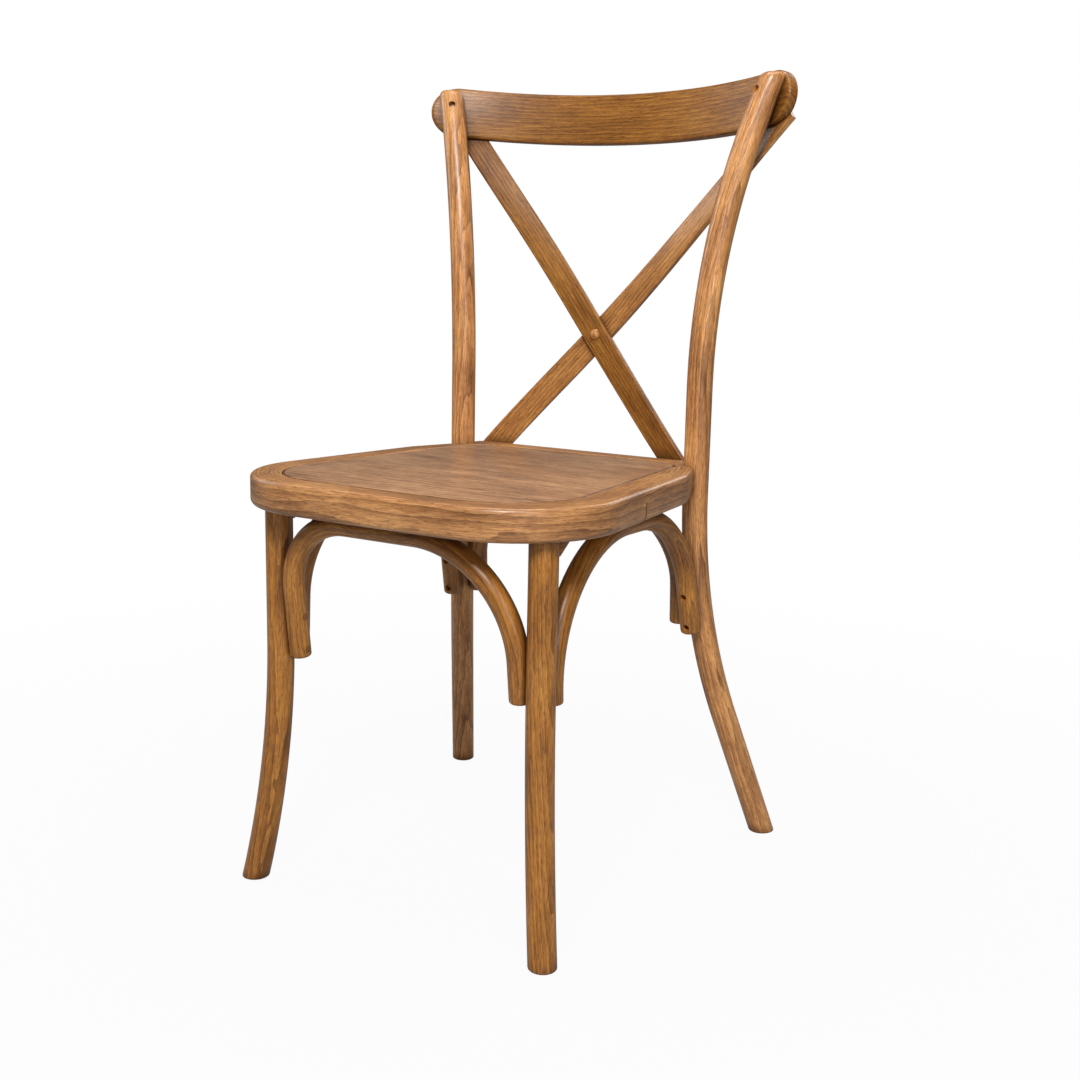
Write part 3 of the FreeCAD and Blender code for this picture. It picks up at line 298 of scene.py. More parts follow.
seat_right = [
    (SEAT_HALF, SEAT_FRONT, SEAT_CORNER),
    (SEAT_REAR_HALF, SIDE_END_Y, 0.045),
    (POST_X + 0.003, POST_Y - NOTCH_FRONT, 0.002),
    (POST_X - 0.005, POST_Y, 0.002),
    (POST_X - 0.005, SEAT_REAR, 0.009),
]
seat_left = [(-x, y, radius) for x, y, radius in reversed(seat_right)]
seat_nose = [(0, SEAT_FRONT - 0.0025, 7.0)]
seat_outer = rounded_line(seat_nose + seat_right + seat_left, 0.005)
seat_inner = nearest(seat_outer, panel_line(0, 0.0006))
seat_ledge = nearest(seat_inner, panel_line(LIP, 0.0006))


def seat_ring(name, first):
    """The whole bent ring, started at a corner: one section swept round, with the panel's ledge."""
    outer, inner, ledge = (np.roll(line, -first, 0) for line in (seat_outer, seat_inner, seat_ledge))
    reach = np.linalg.norm(np.roll(outer, -1, 0) - outer, axis=1)
    along = np.concatenate([[0], np.cumsum(reach)[:-1]])
    over = quarter(EDGE_OVER, SEAT_TOP - EDGE_OVER, EDGE_OVER, math.pi)
    under = quarter(EDGE_UNDER, SEAT_BOTTOM + EDGE_UNDER, EDGE_UNDER, -math.pi / 2)
    outer_share = [(u, z, 0) for u, z in over]
    outer_share += [(-GROOVE_EDGE, SEAT_TOP, 1), (0, SEAT_TOP - GROOVE_EDGE, 1)]
    ledge_share = [(0, SEAT_TOP - PANEL_DEPTH, 1), (0, SEAT_TOP - PANEL_DEPTH, 2), (0, SEAT_BOTTOM, 2)]
    section = outer_share + ledge_share + [(u, z, 0) for u, z in under]
    bases = [outer, inner, ledge]
    inward = inner - outer
    widths = np.linalg.norm(inward, axis=1)
    inward /= widths[:, None]
    vertices, grain = [], []
    for i, run in enumerate(along):
        for u, z, base in section:
            place = bases[base][i] + inward[i] * u
            across = u if base == 0 else widths[i] + u + (LIP if base == 2 else 0)
            vertices.append((place[0], place[1], z))
            grain.append((across, z - SEAT_BOTTOM, run))
    count, rows = len(section), len(along)
    faces = []
    for i in range(rows):
        for k in range(count):
            a, b = i * count + k, i * count + (k + 1) % count
            c, d = (i + 1) % rows * count + (k + 1) % count, (i + 1) % rows * count + k
            faces.append((a, d, c, b))
    return timber_mesh(name, vertices, faces, grain)


def lap_waste(front_part):
    """The stepped block that is sawn away where the other length takes over."""
    way = 1 if front_part else -1
    low = LAP_LOW_Y - way * SHOULDER_LINE / 2
    high, bed = LAP_HIGH_Y - way * GLUE_LINE / 2, LAP_BED - way * GLUE_LINE / 2
    under, over, beyond, aside = SEAT_BOTTOM - 0.028, SEAT_TOP + 0.038, 0.6 * way, 0.3
    profile = [(low, under), (low, bed), (high, bed), (high, over), (beyond, over), (beyond, under)]
    return piece_of(slab(profile, -aside, aside), "lap_waste")


seat_wood = stained_elm("elm_seat_frame", (0.085, 0.045, 0), 1.0, 1.22, 0.20)
for label, front_part in (("front", True), ("rear", False)):
    far_side = seat_outer[:, 1].argmax() if front_part else seat_outer[:, 1].argmin()
    bow = cut_away(seat_ring(f"bent_seat_{label}", far_side), lap_waste(front_part))
    creased(bow, 40)
    fitted(bow, seat_wood, "stained_elm", f"seat_{label}_bow")


# Seat panel
# A moulded plywood panel faced with straight-grained elm, let flush into the frame with its edge
# worked to a fine groove, the panel's edge darkened as painted shade in it. The veneer runs from side to
# side.
PANEL_PLAY = 0.0007
PANEL_EDGE = 0.0021


def lay_grain(shell, axes):
    """Notes the timber's own coordinates, given the axes that run across, through and along."""
    layer = shell.loops.layers.float_vector.new("grain")
    for face in shell.faces:
        for corner in face.loops:
            corner[layer] = getattr(corner.vert.co, axes)


def softened(shell, rim, offset, steps):
    """Rounds over some edges of a shell, in a number of steps."""
    bmesh.ops.bevel(shell, geom=rim, offset=offset, segments=steps, affect="EDGES", profile=0.5)


def drawn_out(points, way):
    """A shell drawn out from a flat face."""
    shell = bmesh.new()
    base = shell.faces.new([shell.verts.new(point) for point in points])
    lifted = bmesh.ops.extrude_face_region(shell, geom=[base])["geom"]
    moved = [v for v in lifted if isinstance(v, bmesh.types.BMVert)]
    bmesh.ops.translate(shell, vec=way, verts=moved)
    return shell


def seat_panel():
    line = panel_line(PANEL_PLAY, 0.006)
    shell = drawn_out([(x, y, SEAT_TOP - PANEL_DEPTH) for x, y in line], (0, 0, PANEL_DEPTH))
    rim = [e for e in shell.edges if min(v.co.z for v in e.verts) > SEAT_TOP - 1e-5]
    softened(shell, rim, PANEL_EDGE, 3)
    lay_grain(shell, "yzx")
    return creased(piece_of(shell, "veneered_seat_panel"), 50)


panel = seat_panel()
# The veneer's colours are greyed as a painted reflection of the pale surroundings.
fitted(panel, stained_elm("elm_veneer", (0.40, 0.030, 0), 0.5, 1.19, 0.36), "stained_veneer", "seat_panel")
# The panel's softened edge and walls take a darker copy of the finish: painted shade in the groove.
panel.data.materials.append(stained_elm("elm_panel_groove_painted_shade", (0.10, 0.030, 0), 0.5, 0.45))
for face in panel.data.polygons:
    face.material_index = 1 if abs(face.normal.z) < 0.98 else 0


# Front legs
# Turned elm dowels, steamed so that the foot flares forwards and outwards, with a round tenon glued
# into the seat frame and the foot sawn level.
LEG_X = 0.16925
LEG_Y = SEAT_FRONT + 0.064
LEG_RADIUS = 0.0149
LEG_BEND = 0.280
LEG_BEND_RADIUS = 1.250
FOOT_SOFT = 0.0018


def math_step(tree, operation, first, second=0.0):
    """One step of arithmetic on sockets or numbers."""
    return add(tree, "ShaderNodeMath", {0: first, 1: second}, operation=operation).outputs[0]


def new_tree(name, **inputs):
    """A geometry tree with its inputs, given as name and kind."""
    tree = bpy.data.node_groups.new(name, "GeometryNodeTree")
    for socket, kind in {"Geometry": "Geometry", **inputs}.items():
        tree.interface.new_socket(socket, in_out="INPUT", socket_type=f"NodeSocket{kind}")
    tree.interface.new_socket("Geometry", in_out="OUTPUT", socket_type="NodeSocketGeometry")
    return tree, add(tree, "NodeGroupInput").outputs


def end_tree(tree, geometry, grain=None, finish=None):
    """Ends a tree: notes the timber's own coordinates and gives the faces their finish."""
    solid = add(tree, "GeometryNodeRealizeInstances", {"Geometry": geometry})
    if grain:
        solid = add(tree, "GeometryNodeStoreNamedAttribute", data_type="FLOAT_VECTOR", domain="CORNER",
                    inputs={"Geometry": solid.outputs["Geometry"], "Name": "grain", "Value": grain})
    faces = add(tree, "GeometryNodeSetMaterial", {"Geometry": solid.outputs["Geometry"]})
    if finish:
        feed(faces, {"Material": finish})
    add(tree, "NodeGroupOutput", {"Geometry": faces.outputs["Geometry"]})
    return tree


def swept(tree, line, profile, scale=1.0):
    """Sweeps a profile along a line and closes both ends. The grain runs along the line."""
    run = add(tree, "GeometryNodeCaptureAttribute", domain="POINT")
    run.capture_items.new("FLOAT", "Run")
    feed(run, {"Geometry": line, "Run": add(tree, "GeometryNodeSplineParameter").outputs["Length"]})
    rim = add(tree, "GeometryNodeCaptureAttribute", domain="POINT")
    rim.capture_items.new("VECTOR", "Across")
    feed(rim, {"Geometry": profile, "Across": add(tree, "GeometryNodeInputPosition").outputs["Position"]})
    sweep = add(tree, "GeometryNodeCurveToMesh",
                {"Curve": run.outputs["Geometry"], "Profile Curve": rim.outputs["Geometry"],
                 "Scale": scale, "Fill Caps": True})
    across = add(tree, "ShaderNodeSeparateXYZ", {"Vector": rim.outputs["Across"]}).outputs
    grain = add(tree, "ShaderNodeCombineXYZ", {"X": across["X"], "Y": across["Y"], "Z": run.outputs["Run"]})
    return end_tree(tree, sweep.outputs["Mesh"], grain.outputs["Vector"])


def rod_nodes():
    """A disc swept along the line, with both ends softened."""
    tree, given = new_tree("bent_rod", Diameter="Float", Softness="Float", Facets="Int")
    soft = given["Softness"]
    line = add(tree, "GeometryNodeMeshToCurve", {"Mesh": given["Geometry"]})
    place = add(tree, "GeometryNodeSplineParameter").outputs["Length"]
    whole = add(tree, "GeometryNodeSplineLength").outputs["Length"]
    near_end = math_step(tree, "MINIMUM", place, math_step(tree, "SUBTRACT", whole, place))
    inside = math_step(tree, "MAXIMUM", math_step(tree, "SUBTRACT", soft, near_end), 0.0)
    square = math_step(tree, "MULTIPLY", inside, inside)
    soft_square = math_step(tree, "MULTIPLY", soft, soft)
    rest = math_step(tree, "SQRT", math_step(tree, "SUBTRACT", soft_square, square))
    lost = math_step(tree, "SUBTRACT", soft, rest)
    half = math_step(tree, "MULTIPLY", given["Diameter"], 0.5)
    kept = math_step(tree, "DIVIDE", math_step(tree, "SUBTRACT", half, lost), half)
    disc = add(tree, "GeometryNodeCurvePrimitiveCircle", {"Resolution": given["Facets"], "Radius": half})
    return swept(tree, line.outputs["Curve"], disc.outputs["Curve"], kept)


rod_tree = rod_nodes()


def with_inputs(piece, tree, **values):
    """Gives a piece a tree and sets the tree's inputs by name, through their identifiers."""
    modifier = piece.modifiers.new(tree.name, "NODES")
    modifier.node_group = tree
    for item in tree.interface.items_tree:
        if item.in_out == "INPUT" and item.name in values:
            modifier[item.identifier] = values[item.name]
    return piece


def line_object(name, points):
    """A bare line of points, as the middle line of a bent piece."""
    mesh = bpy.data.meshes.new(name)
    mesh.from_pydata([tuple(p) for p in points], [(i, i + 1) for i in range(len(points) - 1)], [])
    return placed(name, mesh)


def bent_rod(name, points, radius, softness=0.0):
    """A round rod along a line of points."""
    rod = line_object(name, points)
    with_inputs(rod, rod_tree, Diameter=2 * radius, Softness=max(softness, 1e-5), Facets=56)
    return settled(rod)


def sawn_level(piece, height, upper, softness, steps):
    """Saws a rod level at a height and softens the new edge. The grain runs on into the sawn end."""
    shell = bmesh.new()
    shell.from_mesh(piece.data)
    grain = shell.loops.layers.float_vector["grain"]
    around = [c for face in shell.faces if len(face.verts) == 4 for c in face.loops
              if abs(c.vert.co.z - height) < 0.045]
    fit = np.linalg.lstsq(np.array([(*c.vert.co, 1) for c in around]),
                          np.array([c[grain] for c in around]), rcond=None)[0]
    normal = (0, 0, 1) if upper else (0, 0, -1)
    cut = bmesh.ops.bisect_plane(shell, geom=shell.verts[:] + shell.edges[:] + shell.faces[:],
                                 plane_co=(0, 0, height), plane_no=normal, clear_outer=True)
    rim = [e for e in cut["geom_cut"] if isinstance(e, bmesh.types.BMEdge)]
    lid = bmesh.ops.edgeloop_fill(shell, edges=rim)["faces"]
    rim = [e for face in lid for e in face.edges]
    softened(shell, rim, softness, steps)
    bmesh.ops.recalc_face_normals(shell, faces=shell.faces)
    for face in shell.faces:
        for corner in face.loops:
            if abs(corner.vert.co.z - height) < softness * 1.05:
                corner[grain] = np.array((*corner.vert.co, 1)) @ fit
    shell.to_mesh(piece.data)
    shell.free()
    return piece


def leg_point(z):
    """The right front leg's axis at a height."""
    drop = max(LEG_BEND - z, 0)
    shift = LEG_BEND_RADIUS - math.sqrt(LEG_BEND_RADIUS**2 - drop**2)
    return Vector((LEG_X + shift * math.sqrt(0.5), LEG_Y - shift * math.sqrt(0.5), z))


def mirrored(points, side):
    """Points of the right half, or their mirror image."""
    return [Vector((side * p.x, p.y, p.z)) for p in points]


leg_line = [leg_point(z) for z in [-0.02, *np.linspace(0.013, SEAT_BOTTOM + 0.004, 85)]]
leg_pith = {"left": (0.048, 0.020, 0.30), "right": (-0.036, 0.044, 0.05)}
for word, side in (("left", -1), ("right", 1)):
    leg = bent_rod(f"flared_leg_{word}", mirrored(leg_line, side), LEG_RADIUS)
    creased(sawn_level(leg, 0, False, FOOT_SOFT, 3), 50)
    wood = stained_elm(f"elm_leg_{word}", leg_pith[word], 2.4, 0.91)
    fitted(leg, wood, "stained_elm", f"front_leg_{word}")


# Corner blocks
# A three-cornered scrap of the same elm, glued behind each front leg and hard up under the seat. Its
# edges are only just broken.
BLOCK_HALF = 0.010
BLOCK_HIGH = 0.019
BLOCK_LONG = 0.027
BLOCK_LET_IN = 0.003


def corner_block(name, side):
    near, middle, far = (LEG_Y + LEG_RADIUS + step for step in (-BLOCK_LET_IN, 0, BLOCK_LONG))
    low = SEAT_BOTTOM - BLOCK_HIGH
    outline = [(near, SEAT_BOTTOM), (far, SEAT_BOTTOM), (middle, low), (near, low)]
    shell = slab(outline, side * LEG_X - BLOCK_HALF, side * LEG_X + BLOCK_HALF)
    softened(shell, shell.edges[:], 0.0012, 2)
    lay_grain(shell, "xzy")
    return creased(piece_of(shell, name), 50)


block_wood = stained_elm("elm_corner_block", (0.02, 0.03, 0), 3, 0.8)
for word, side in (("left", -1), ("right", 1)):
    fitted(corner_block(f"glue_block_{word}", side), block_wood, "stained_elm", f"corner_block_{word}")


# Back posts
# One long elm dowel on each side, steamed to an S: straight where it is bolted into the seat's corner,
# swept back below it and raked back above it. The rail's screw is sunk in an open bore near the top.
POST_RADIUS = 0.0147
POST_TOP = 0.898
POST_BEND_LOW = 0.725
POST_BEND_DROP = 0.270
POST_TURN_LOW = math.radians(57)
POST_BEND_START = 0.550
POST_BEND_HIGH = 0.900
POST_TURN_HIGH = math.radians(38.5)
POST_SOFT = 0.008
BORE_RADIUS = 0.0041
BORE_LONG = 0.020
RAIL_RADIUS = 0.416
RAIL_THICK = 0.0135
RAIL_LEAN = math.radians(9.5)
RAIL_DOWN = 0.0238
RAIL_LET_IN = 0.0035
RAIL_SCREW_DOWN = 0.021
RAIL_SCREW_SUNK = 0.009


def post_point(z):
    """The right back post's axis at a height."""
    lower = max(SEAT_BOTTOM - z, 0)
    bend = min(lower, POST_BEND_DROP)
    upper = max(z - POST_BEND_START, 0)
    slope = math.sqrt(POST_BEND_LOW**2 - bend**2)
    low = POST_BEND_LOW - slope + (lower - bend) * bend / slope
    high = POST_BEND_HIGH - math.sqrt(POST_BEND_HIGH**2 - upper**2)
    x = POST_X + low * math.cos(POST_TURN_LOW) + high * math.cos(POST_TURN_HIGH)
    y = POST_Y + low * math.sin(POST_TURN_LOW) + high * math.sin(POST_TURN_HIGH)
    return Vector((x, y, z))


rail_anchor = post_point(POST_TOP - RAIL_DOWN)
rail_centre_y = -math.sqrt((RAIL_RADIUS - POST_RADIUS + RAIL_LET_IN) ** 2 - rail_anchor.x**2)
rail_screw_axis = post_point(POST_TOP - RAIL_SCREW_DOWN)
rail_screw_way = Matrix.Rotation(-RAIL_LEAN, 3, "X") @ Vector(
    (rail_screw_axis.x, -rail_centre_y, 0)).normalized()
rail_screws = []
for side in (-1, 1):
    axis, way = mirrored([rail_screw_axis, rail_screw_way], side)
    rail_screws.append((axis - way * (POST_RADIUS - RAIL_SCREW_SUNK), way))
bore_wood = stained_elm("elm_bore_wall", (0.03, 0.01, 0), 5, 1.30, corner_shade_share=0.10)


def drilled(piece, holes):
    """Drills the open bores, given as (bottom, way in, radius, depth)."""
    for bottom, way, radius, depth in holes:
        shell = bmesh.new()
        bmesh.ops.create_cone(shell, cap_ends=True, segments=32, radius1=radius, radius2=radius,
                              depth=depth)
        turn = way.to_track_quat("Z", "Y").to_matrix().to_4x4()
        middle = Matrix.Translation(bottom - way * depth / 2)
        bmesh.ops.transform(shell, matrix=middle @ turn, verts=shell.verts)
        drill = piece_of(shell, "drill")
        drill.data.materials.append(bore_wood)
        cut_away(piece, drill)
    return piece


def bored_and_fitted(piece, material, slot, *nodes):
    """As fitted, for a piece whose bore walls keep their own darker finish."""
    bored = [face.material_index for face in piece.data.polygons]
    names = [m.name if m else "" for m in piece.data.materials]
    fitted(piece, material, slot, *nodes)
    piece.data.materials.append(bore_wood)
    for face, index in zip(piece.data.polygons, bored):
        face.material_index = 1 if names and names[index] == bore_wood.name else 0
    return piece


post_line = [post_point(z) for z in [-0.03, *np.linspace(0.013, POST_TOP - 0.018, 150), POST_TOP + 0.02]]
post_pith = {"left": (-0.030, 0.045, 0.10), "right": (0.052, 0.012, 0.42)}
for word, side, screw in (("left", -1, rail_screws[0]), ("right", 1, rail_screws[1])):
    post = bent_rod(f"bent_post_{word}", mirrored(post_line, side), POST_RADIUS)
    sawn_level(post, 0, False, FOOT_SOFT, 3)
    sawn_level(post, POST_TOP, True, POST_SOFT, 7)
    creased(drilled(post, [(*screw, BORE_RADIUS, BORE_LONG)]), 50)
    # The posts' tone is lighter and greyer than the legs': painted light from above and a painted sheen.
    wood = stained_elm(f"elm_post_{word}", post_pith[word], 1.9, 1.45, 0.17)
    bored_and_fitted(post, wood, "stained_elm", f"back_post_{word}")


# Crest rail
# A flat board with rounded ends, softened all round and bent in a press to fit a sitter's shoulders.
# The posts are let in for it and screwed to it from the front.
RAIL_HALF = 0.2446
RAIL_HIGH = 0.0605
RAIL_EDGE = 0.0035


def crest_rail():
    deep = RAIL_HIGH / 2
    corners = [(-RAIL_HALF, -deep), (RAIL_HALF, -deep), (RAIL_HALF, deep), (-RAIL_HALF, deep)]
    outline = rounded_line([(x, z, deep - 1e-5) for x, z in corners], 0.0025)
    shell = drawn_out([(x, 0, z) for x, z in outline], (0, RAIL_THICK, 0))
    bmesh.ops.remove_doubles(shell, verts=shell.verts, dist=1e-6)
    rims = [e for e in shell.edges if abs(e.verts[0].co.y - e.verts[1].co.y) < 1e-6]
    softened(shell, rims, RAIL_EDGE, 5)
    for x in np.arange(-RAIL_HALF + 0.004, RAIL_HALF, 0.005):
        bmesh.ops.bisect_plane(shell, geom=shell.verts[:] + shell.edges[:] + shell.faces[:],
                               plane_co=(x, 0, 0), plane_no=(1, 0, 0))
    lay_grain(shell, "yzx")
    lean = Matrix.Rotation(-RAIL_LEAN, 3, "X")
    for vertex in shell.verts:
        x, through, z = vertex.co
        turn = math.asin(x / (RAIL_RADIUS + RAIL_THICK / 2))
        radius = RAIL_RADIUS + through
        flat = Vector((radius * math.sin(turn), rail_centre_y + radius * math.cos(turn), z))
        vertex.co = lean @ flat + Vector((0, rail_anchor.y, rail_anchor.z))
    return creased(piece_of(shell, "bowed_crest_rail"), 50)


rail_wood = stained_elm("elm_crest_rail", (0.030, 0.060, 0), 1.2, 0.67, 0.0, 0.12)
fitted(crest_rail(), rail_wood, "stained_elm", "crest_rail")


# Crossing slats
# Two thin strips bent to the hollow of the back and screwed from behind to the rail and the seat,
# one in front of the other. Each one twists a little, because the hollow changes with the height.
SLAT_WIDE = 0.0305
SLAT_THICK = 0.007
SLAT_FOOT = SEAT_BOTTOM + 0.010
SLAT_HEAD = POST_TOP - RAIL_DOWN - 0.017
SLAT_BOWS = (0.018, 0.054, 0.047)
SLAT_SET = -0.042
SLAT_EDGE = 0.0018
SLATS = {"front": (0.133, -0.213, 1), "rear": (-0.156, 0.235, -1)}


def through_three(values, share):
    """A smooth change through three values, at the foot, halfway and at the head."""
    low, middle, high = values
    return (low * (1 - share) * (1 - 2 * share) + middle * 4 * share * (1 - share)
            + high * share * (2 * share - 1))


def back_hollow(x, z):
    """Depth of the hollow of the back at a place."""
    share = (z - SLAT_FOOT) / (SLAT_HEAD - SLAT_FOOT)
    head = rail_anchor.y + SLAT_THICK
    stand = through_three((SEAT_REAR, (SEAT_REAR + head) / 2 + SLAT_SET, head), share)
    return stand + through_three(SLAT_BOWS, share) * (1 - (x / 0.200) ** 2)


def behind_rail(x, z):
    """Rear face of the crest rail at a place."""
    out = rail_centre_y + math.sqrt((RAIL_RADIUS + RAIL_THICK) ** 2 - x**2)
    rise = (z - rail_anchor.z + out * math.sin(RAIL_LEAN)) / math.cos(RAIL_LEAN)
    return rail_anchor.y + out * math.cos(RAIL_LEAN) + rise * math.sin(RAIL_LEAN)


foot_gap = SLATS["front"][0] - SLATS["rear"][0]
head_gap = SLATS["rear"][1] - SLATS["front"][1]
cross_share = foot_gap / (foot_gap + head_gap)
cross_z = SLAT_FOOT + cross_share * (SLAT_HEAD - SLAT_FOOT)


def slat_place(foot_x, head_x, layer, share):
    """The slat's middle line at a share of its height, and the way its back looks."""
    x = foot_x + (head_x - foot_x) * share
    z = SLAT_FOOT + (SLAT_HEAD - SLAT_FOOT) * share
    at_foot = SEAT_REAR + SLAT_THICK / 2 - back_hollow(foot_x, SLAT_FOOT)
    at_head = behind_rail(head_x, SLAT_HEAD) + SLAT_THICK / 2 - back_hollow(head_x, SLAT_HEAD)
    y = back_hollow(x, z) + at_foot * (1 - share) + at_head * share
    y -= layer * SLAT_THICK / 2 * math.exp(-(((z - cross_z) / 0.090) ** 2))
    step = 0.001
    slope_x = (back_hollow(x + step, z) - back_hollow(x - step, z)) / (2 * step)
    slope_z = (back_hollow(x, z + step) - back_hollow(x, z - step)) / (2 * step)
    slope_z += (at_head - at_foot) / (SLAT_HEAD - SLAT_FOOT)
    return Vector((x, y, z)), Vector((-slope_x, 1, -slope_z)).normalized()


def strip_nodes():
    """A softened rectangle swept along the line, its face turned to the line's own facing."""
    tree, given = new_tree("bent_strip", Width="Float", Thickness="Float", Softness="Float")
    line = add(tree, "GeometryNodeMeshToCurve", {"Mesh": given["Geometry"]}).outputs["Curve"]
    facing = add(tree, "GeometryNodeInputNamedAttribute", {"Name": "facing"}, data_type="FLOAT_VECTOR")
    faced = add(tree, "GeometryNodeSetCurveNormal", mode="FREE",
                inputs={"Curve": line, "Normal": facing.outputs["Attribute"]})
    board = add(tree, "GeometryNodeCurvePrimitiveQuadrilateral", mode="RECTANGLE",
                inputs={"Width": given["Thickness"], "Height": given["Width"]})
    soft = add(tree, "GeometryNodeFilletCurve", mode="POLY",
               inputs={"Curve": board.outputs["Curve"], "Count": 4, "Radius": given["Softness"]})
    return swept(tree, faced.outputs["Curve"], soft.outputs["Curve"])


slat_tree = strip_nodes()
slat_pith = {"front": (0.010, 0.050, 0.2), "rear": (0.016, -0.044, 0.7)}
for word, (foot_x, head_x, layer) in SLATS.items():
    stations = [slat_place(foot_x, head_x, layer, share) for share in np.linspace(0, 1, 81)]
    slat = line_object(f"crossing_slat_{word}", [point for point, _ in stations])
    facing = slat.data.attributes.new("facing", "FLOAT_VECTOR", "POINT")
    facing.data.foreach_set("vector", np.array([normal for _, normal in stations], np.float32).ravel())
    with_inputs(slat, slat_tree, Width=SLAT_WIDE, Thickness=SLAT_THICK, Softness=SLAT_EDGE)
    creased(settled(slat), 60)
    # The rear slat's tone is lighter and greyed as painted light and sheen; the front slat's tone is
    # darker.
    tone, grey, lacquer = (0.64, 0.0, 0.10) if word == "front" else (0.99, 0.10, 0.42)
    wood = stained_elm(f"elm_slat_{word}", slat_pith[word], 1.5, tone, grey, lacquer)
    fitted(slat, wood, "stained_elm", f"cross_slat_{word}")


# Cross button
# A small button turned from elm, with a low dome. It covers the place where the slats cross and is
# screwed on from behind.
BUTTON_HALF = 0.007
BUTTON_RISE = 0.005
BUTTON_FOOT = -0.002


def turned_button():
    here, normal = slat_place(*SLATS["front"], cross_share)
    seat = here - normal * SLAT_THICK / 2
    dome = (BUTTON_HALF**2 + BUTTON_RISE**2) / (2 * BUTTON_RISE)
    brow = math.asin(BUTTON_HALF / dome)
    profile = [(0.004, BUTTON_FOOT), (BUTTON_HALF - 0.0006, BUTTON_FOOT), (BUTTON_HALF, -0.0002)]
    profile += [(dome * math.sin(brow * k / 10), dome * math.cos(brow * k / 10) - dome + BUTTON_RISE)
                for k in range(10, 0, -1)]
    turns = 48
    vertices = []
    for radius, out in profile:
        for k in range(turns):
            angle = 2 * math.pi * k / turns
            vertices.append(Vector((radius * math.cos(angle), radius * math.sin(angle), out)))
    vertices.append(Vector((0, 0, BUTTON_RISE)))
    faces = [(r * turns + k, r * turns + (k + 1) % turns, (r + 1) * turns + (k + 1) % turns,
              (r + 1) * turns + k) for r in range(len(profile) - 1) for k in range(turns)]
    last = (len(profile) - 1) * turns
    faces += [(last + k, last + (k + 1) % turns, len(vertices) - 1) for k in range(turns)]
    faces.append(tuple(range(turns - 1, -1, -1)))
    turn = (-normal).to_track_quat("Z", "Y").to_matrix()
    grain = [(v.x, v.z, v.y) for v in vertices]
    return timber_mesh("turned_button", [turn @ v + seat for v in vertices], faces, grain)


button = creased(turned_button(), 50)
fitted(button, stained_elm("elm_button", (0.02, 0.02, 0), 8, 1.25, 0.08), "stained_elm", "cross_button")


# Arches
# Four elm rods bent to an upside-down U. Each one is screwed up into the seat frame and through its two
# ends into the legs. The heads are sunk and plugged, but left open at the rear ends of the side arches.
ARCH_RADIUS = 0.0118
ARCH_GAP = ARCH_RADIUS - 0.001
FRONT_DROP = 0.170
REAR_DROP = 0.157
SIDE_DROP_FRONT = 0.172
SIDE_DROP_REAR = 0.160
END_LOW = 0.009
END_PITCH = 0.038
FIXING = END_LOW + END_PITCH / 2
SUNK = 0.008
ARCH_SOFT = 0.003
TOP_SCREW_BORE = 0.0039
TOP_SCREW_SUNK = 0.0015
TOP_SCREW_APART = 0.030


def arch_line(start, end, low_start, low_end, radius_start, radius_end, spread):
    """Up, over and down again in the arch's own plane, with its top at height nought."""
    top = -ARCH_RADIUS
    line = [(start, low_start + low) for low in (0, 0.0004, 0.001, 0.0018, 0.003)]
    line += [(start, low) for low in np.linspace(low_start + 0.004, top - radius_start, 9)[:-1]]
    line += [(start + radius_start * (1 - math.cos(t)), top - radius_start * (1 - math.sin(t)))
             for t in np.linspace(0, math.pi / 2, 29)]
    corner_low = top - radius_end * (1 - math.sin(spread))
    corner = end - (corner_low - low_end) * math.tan(spread)
    centre = corner - radius_end * math.cos(spread)
    line += [(along, top) for along in np.linspace(start + radius_start, centre, 12)[1:-1]]
    line += [(centre + radius_end * math.cos(t), top - radius_end * (1 - math.sin(t)))
             for t in np.linspace(math.pi / 2, spread, 29)]
    foot = [(end - rise * math.sin(spread), low_end + rise * math.cos(spread))
            for rise in (0, 0.0004, 0.001, 0.0018, 0.003, 0.012, 0.024, 0.036)]
    line += [point for point in reversed(foot) if point[1] < corner_low - 0.002]
    return [Vector((along, 0, low)) for along, low in line]


def arch_frame(x, y, heading, lean):
    """Where an arch's plane stands: under the seat, turned to a heading and leaning over."""
    return (Matrix.Translation((x, y, SEAT_BOTTOM)) @ Matrix.Rotation(math.radians(heading), 4, "Z")
            @ Matrix.Rotation(math.radians(lean), 4, "X"))


front_reach = LEG_X - LEG_RADIUS - ARCH_GAP
rear_post = post_point(SEAT_BOTTOM - REAR_DROP + FIXING)
rear_reach = rear_post.x - POST_RADIUS - ARCH_GAP
rear_top_y = rear_post.y - math.tan(math.radians(3)) * (SEAT_BOTTOM - rear_post.z)
SPREAD = math.radians(12)
side_post = post_point(SEAT_BOTTOM - SIDE_DROP_REAR + FIXING)
side_from = Vector((LEG_X - 0.003, LEG_Y + LEG_RADIUS + ARCH_GAP))
side_to = Vector((side_post.x, side_post.y - POST_RADIUS - ARCH_GAP + FIXING * math.sin(SPREAD)))
side_run = (side_to - side_from).length
side_heading = math.degrees(math.atan2(side_to.y - side_from.y, side_to.x - side_from.x))
side_x = side_from.x - SIDE_DROP_FRONT * math.tan(math.radians(2))
side_frame = arch_frame(side_x, side_from.y, side_heading, -2)
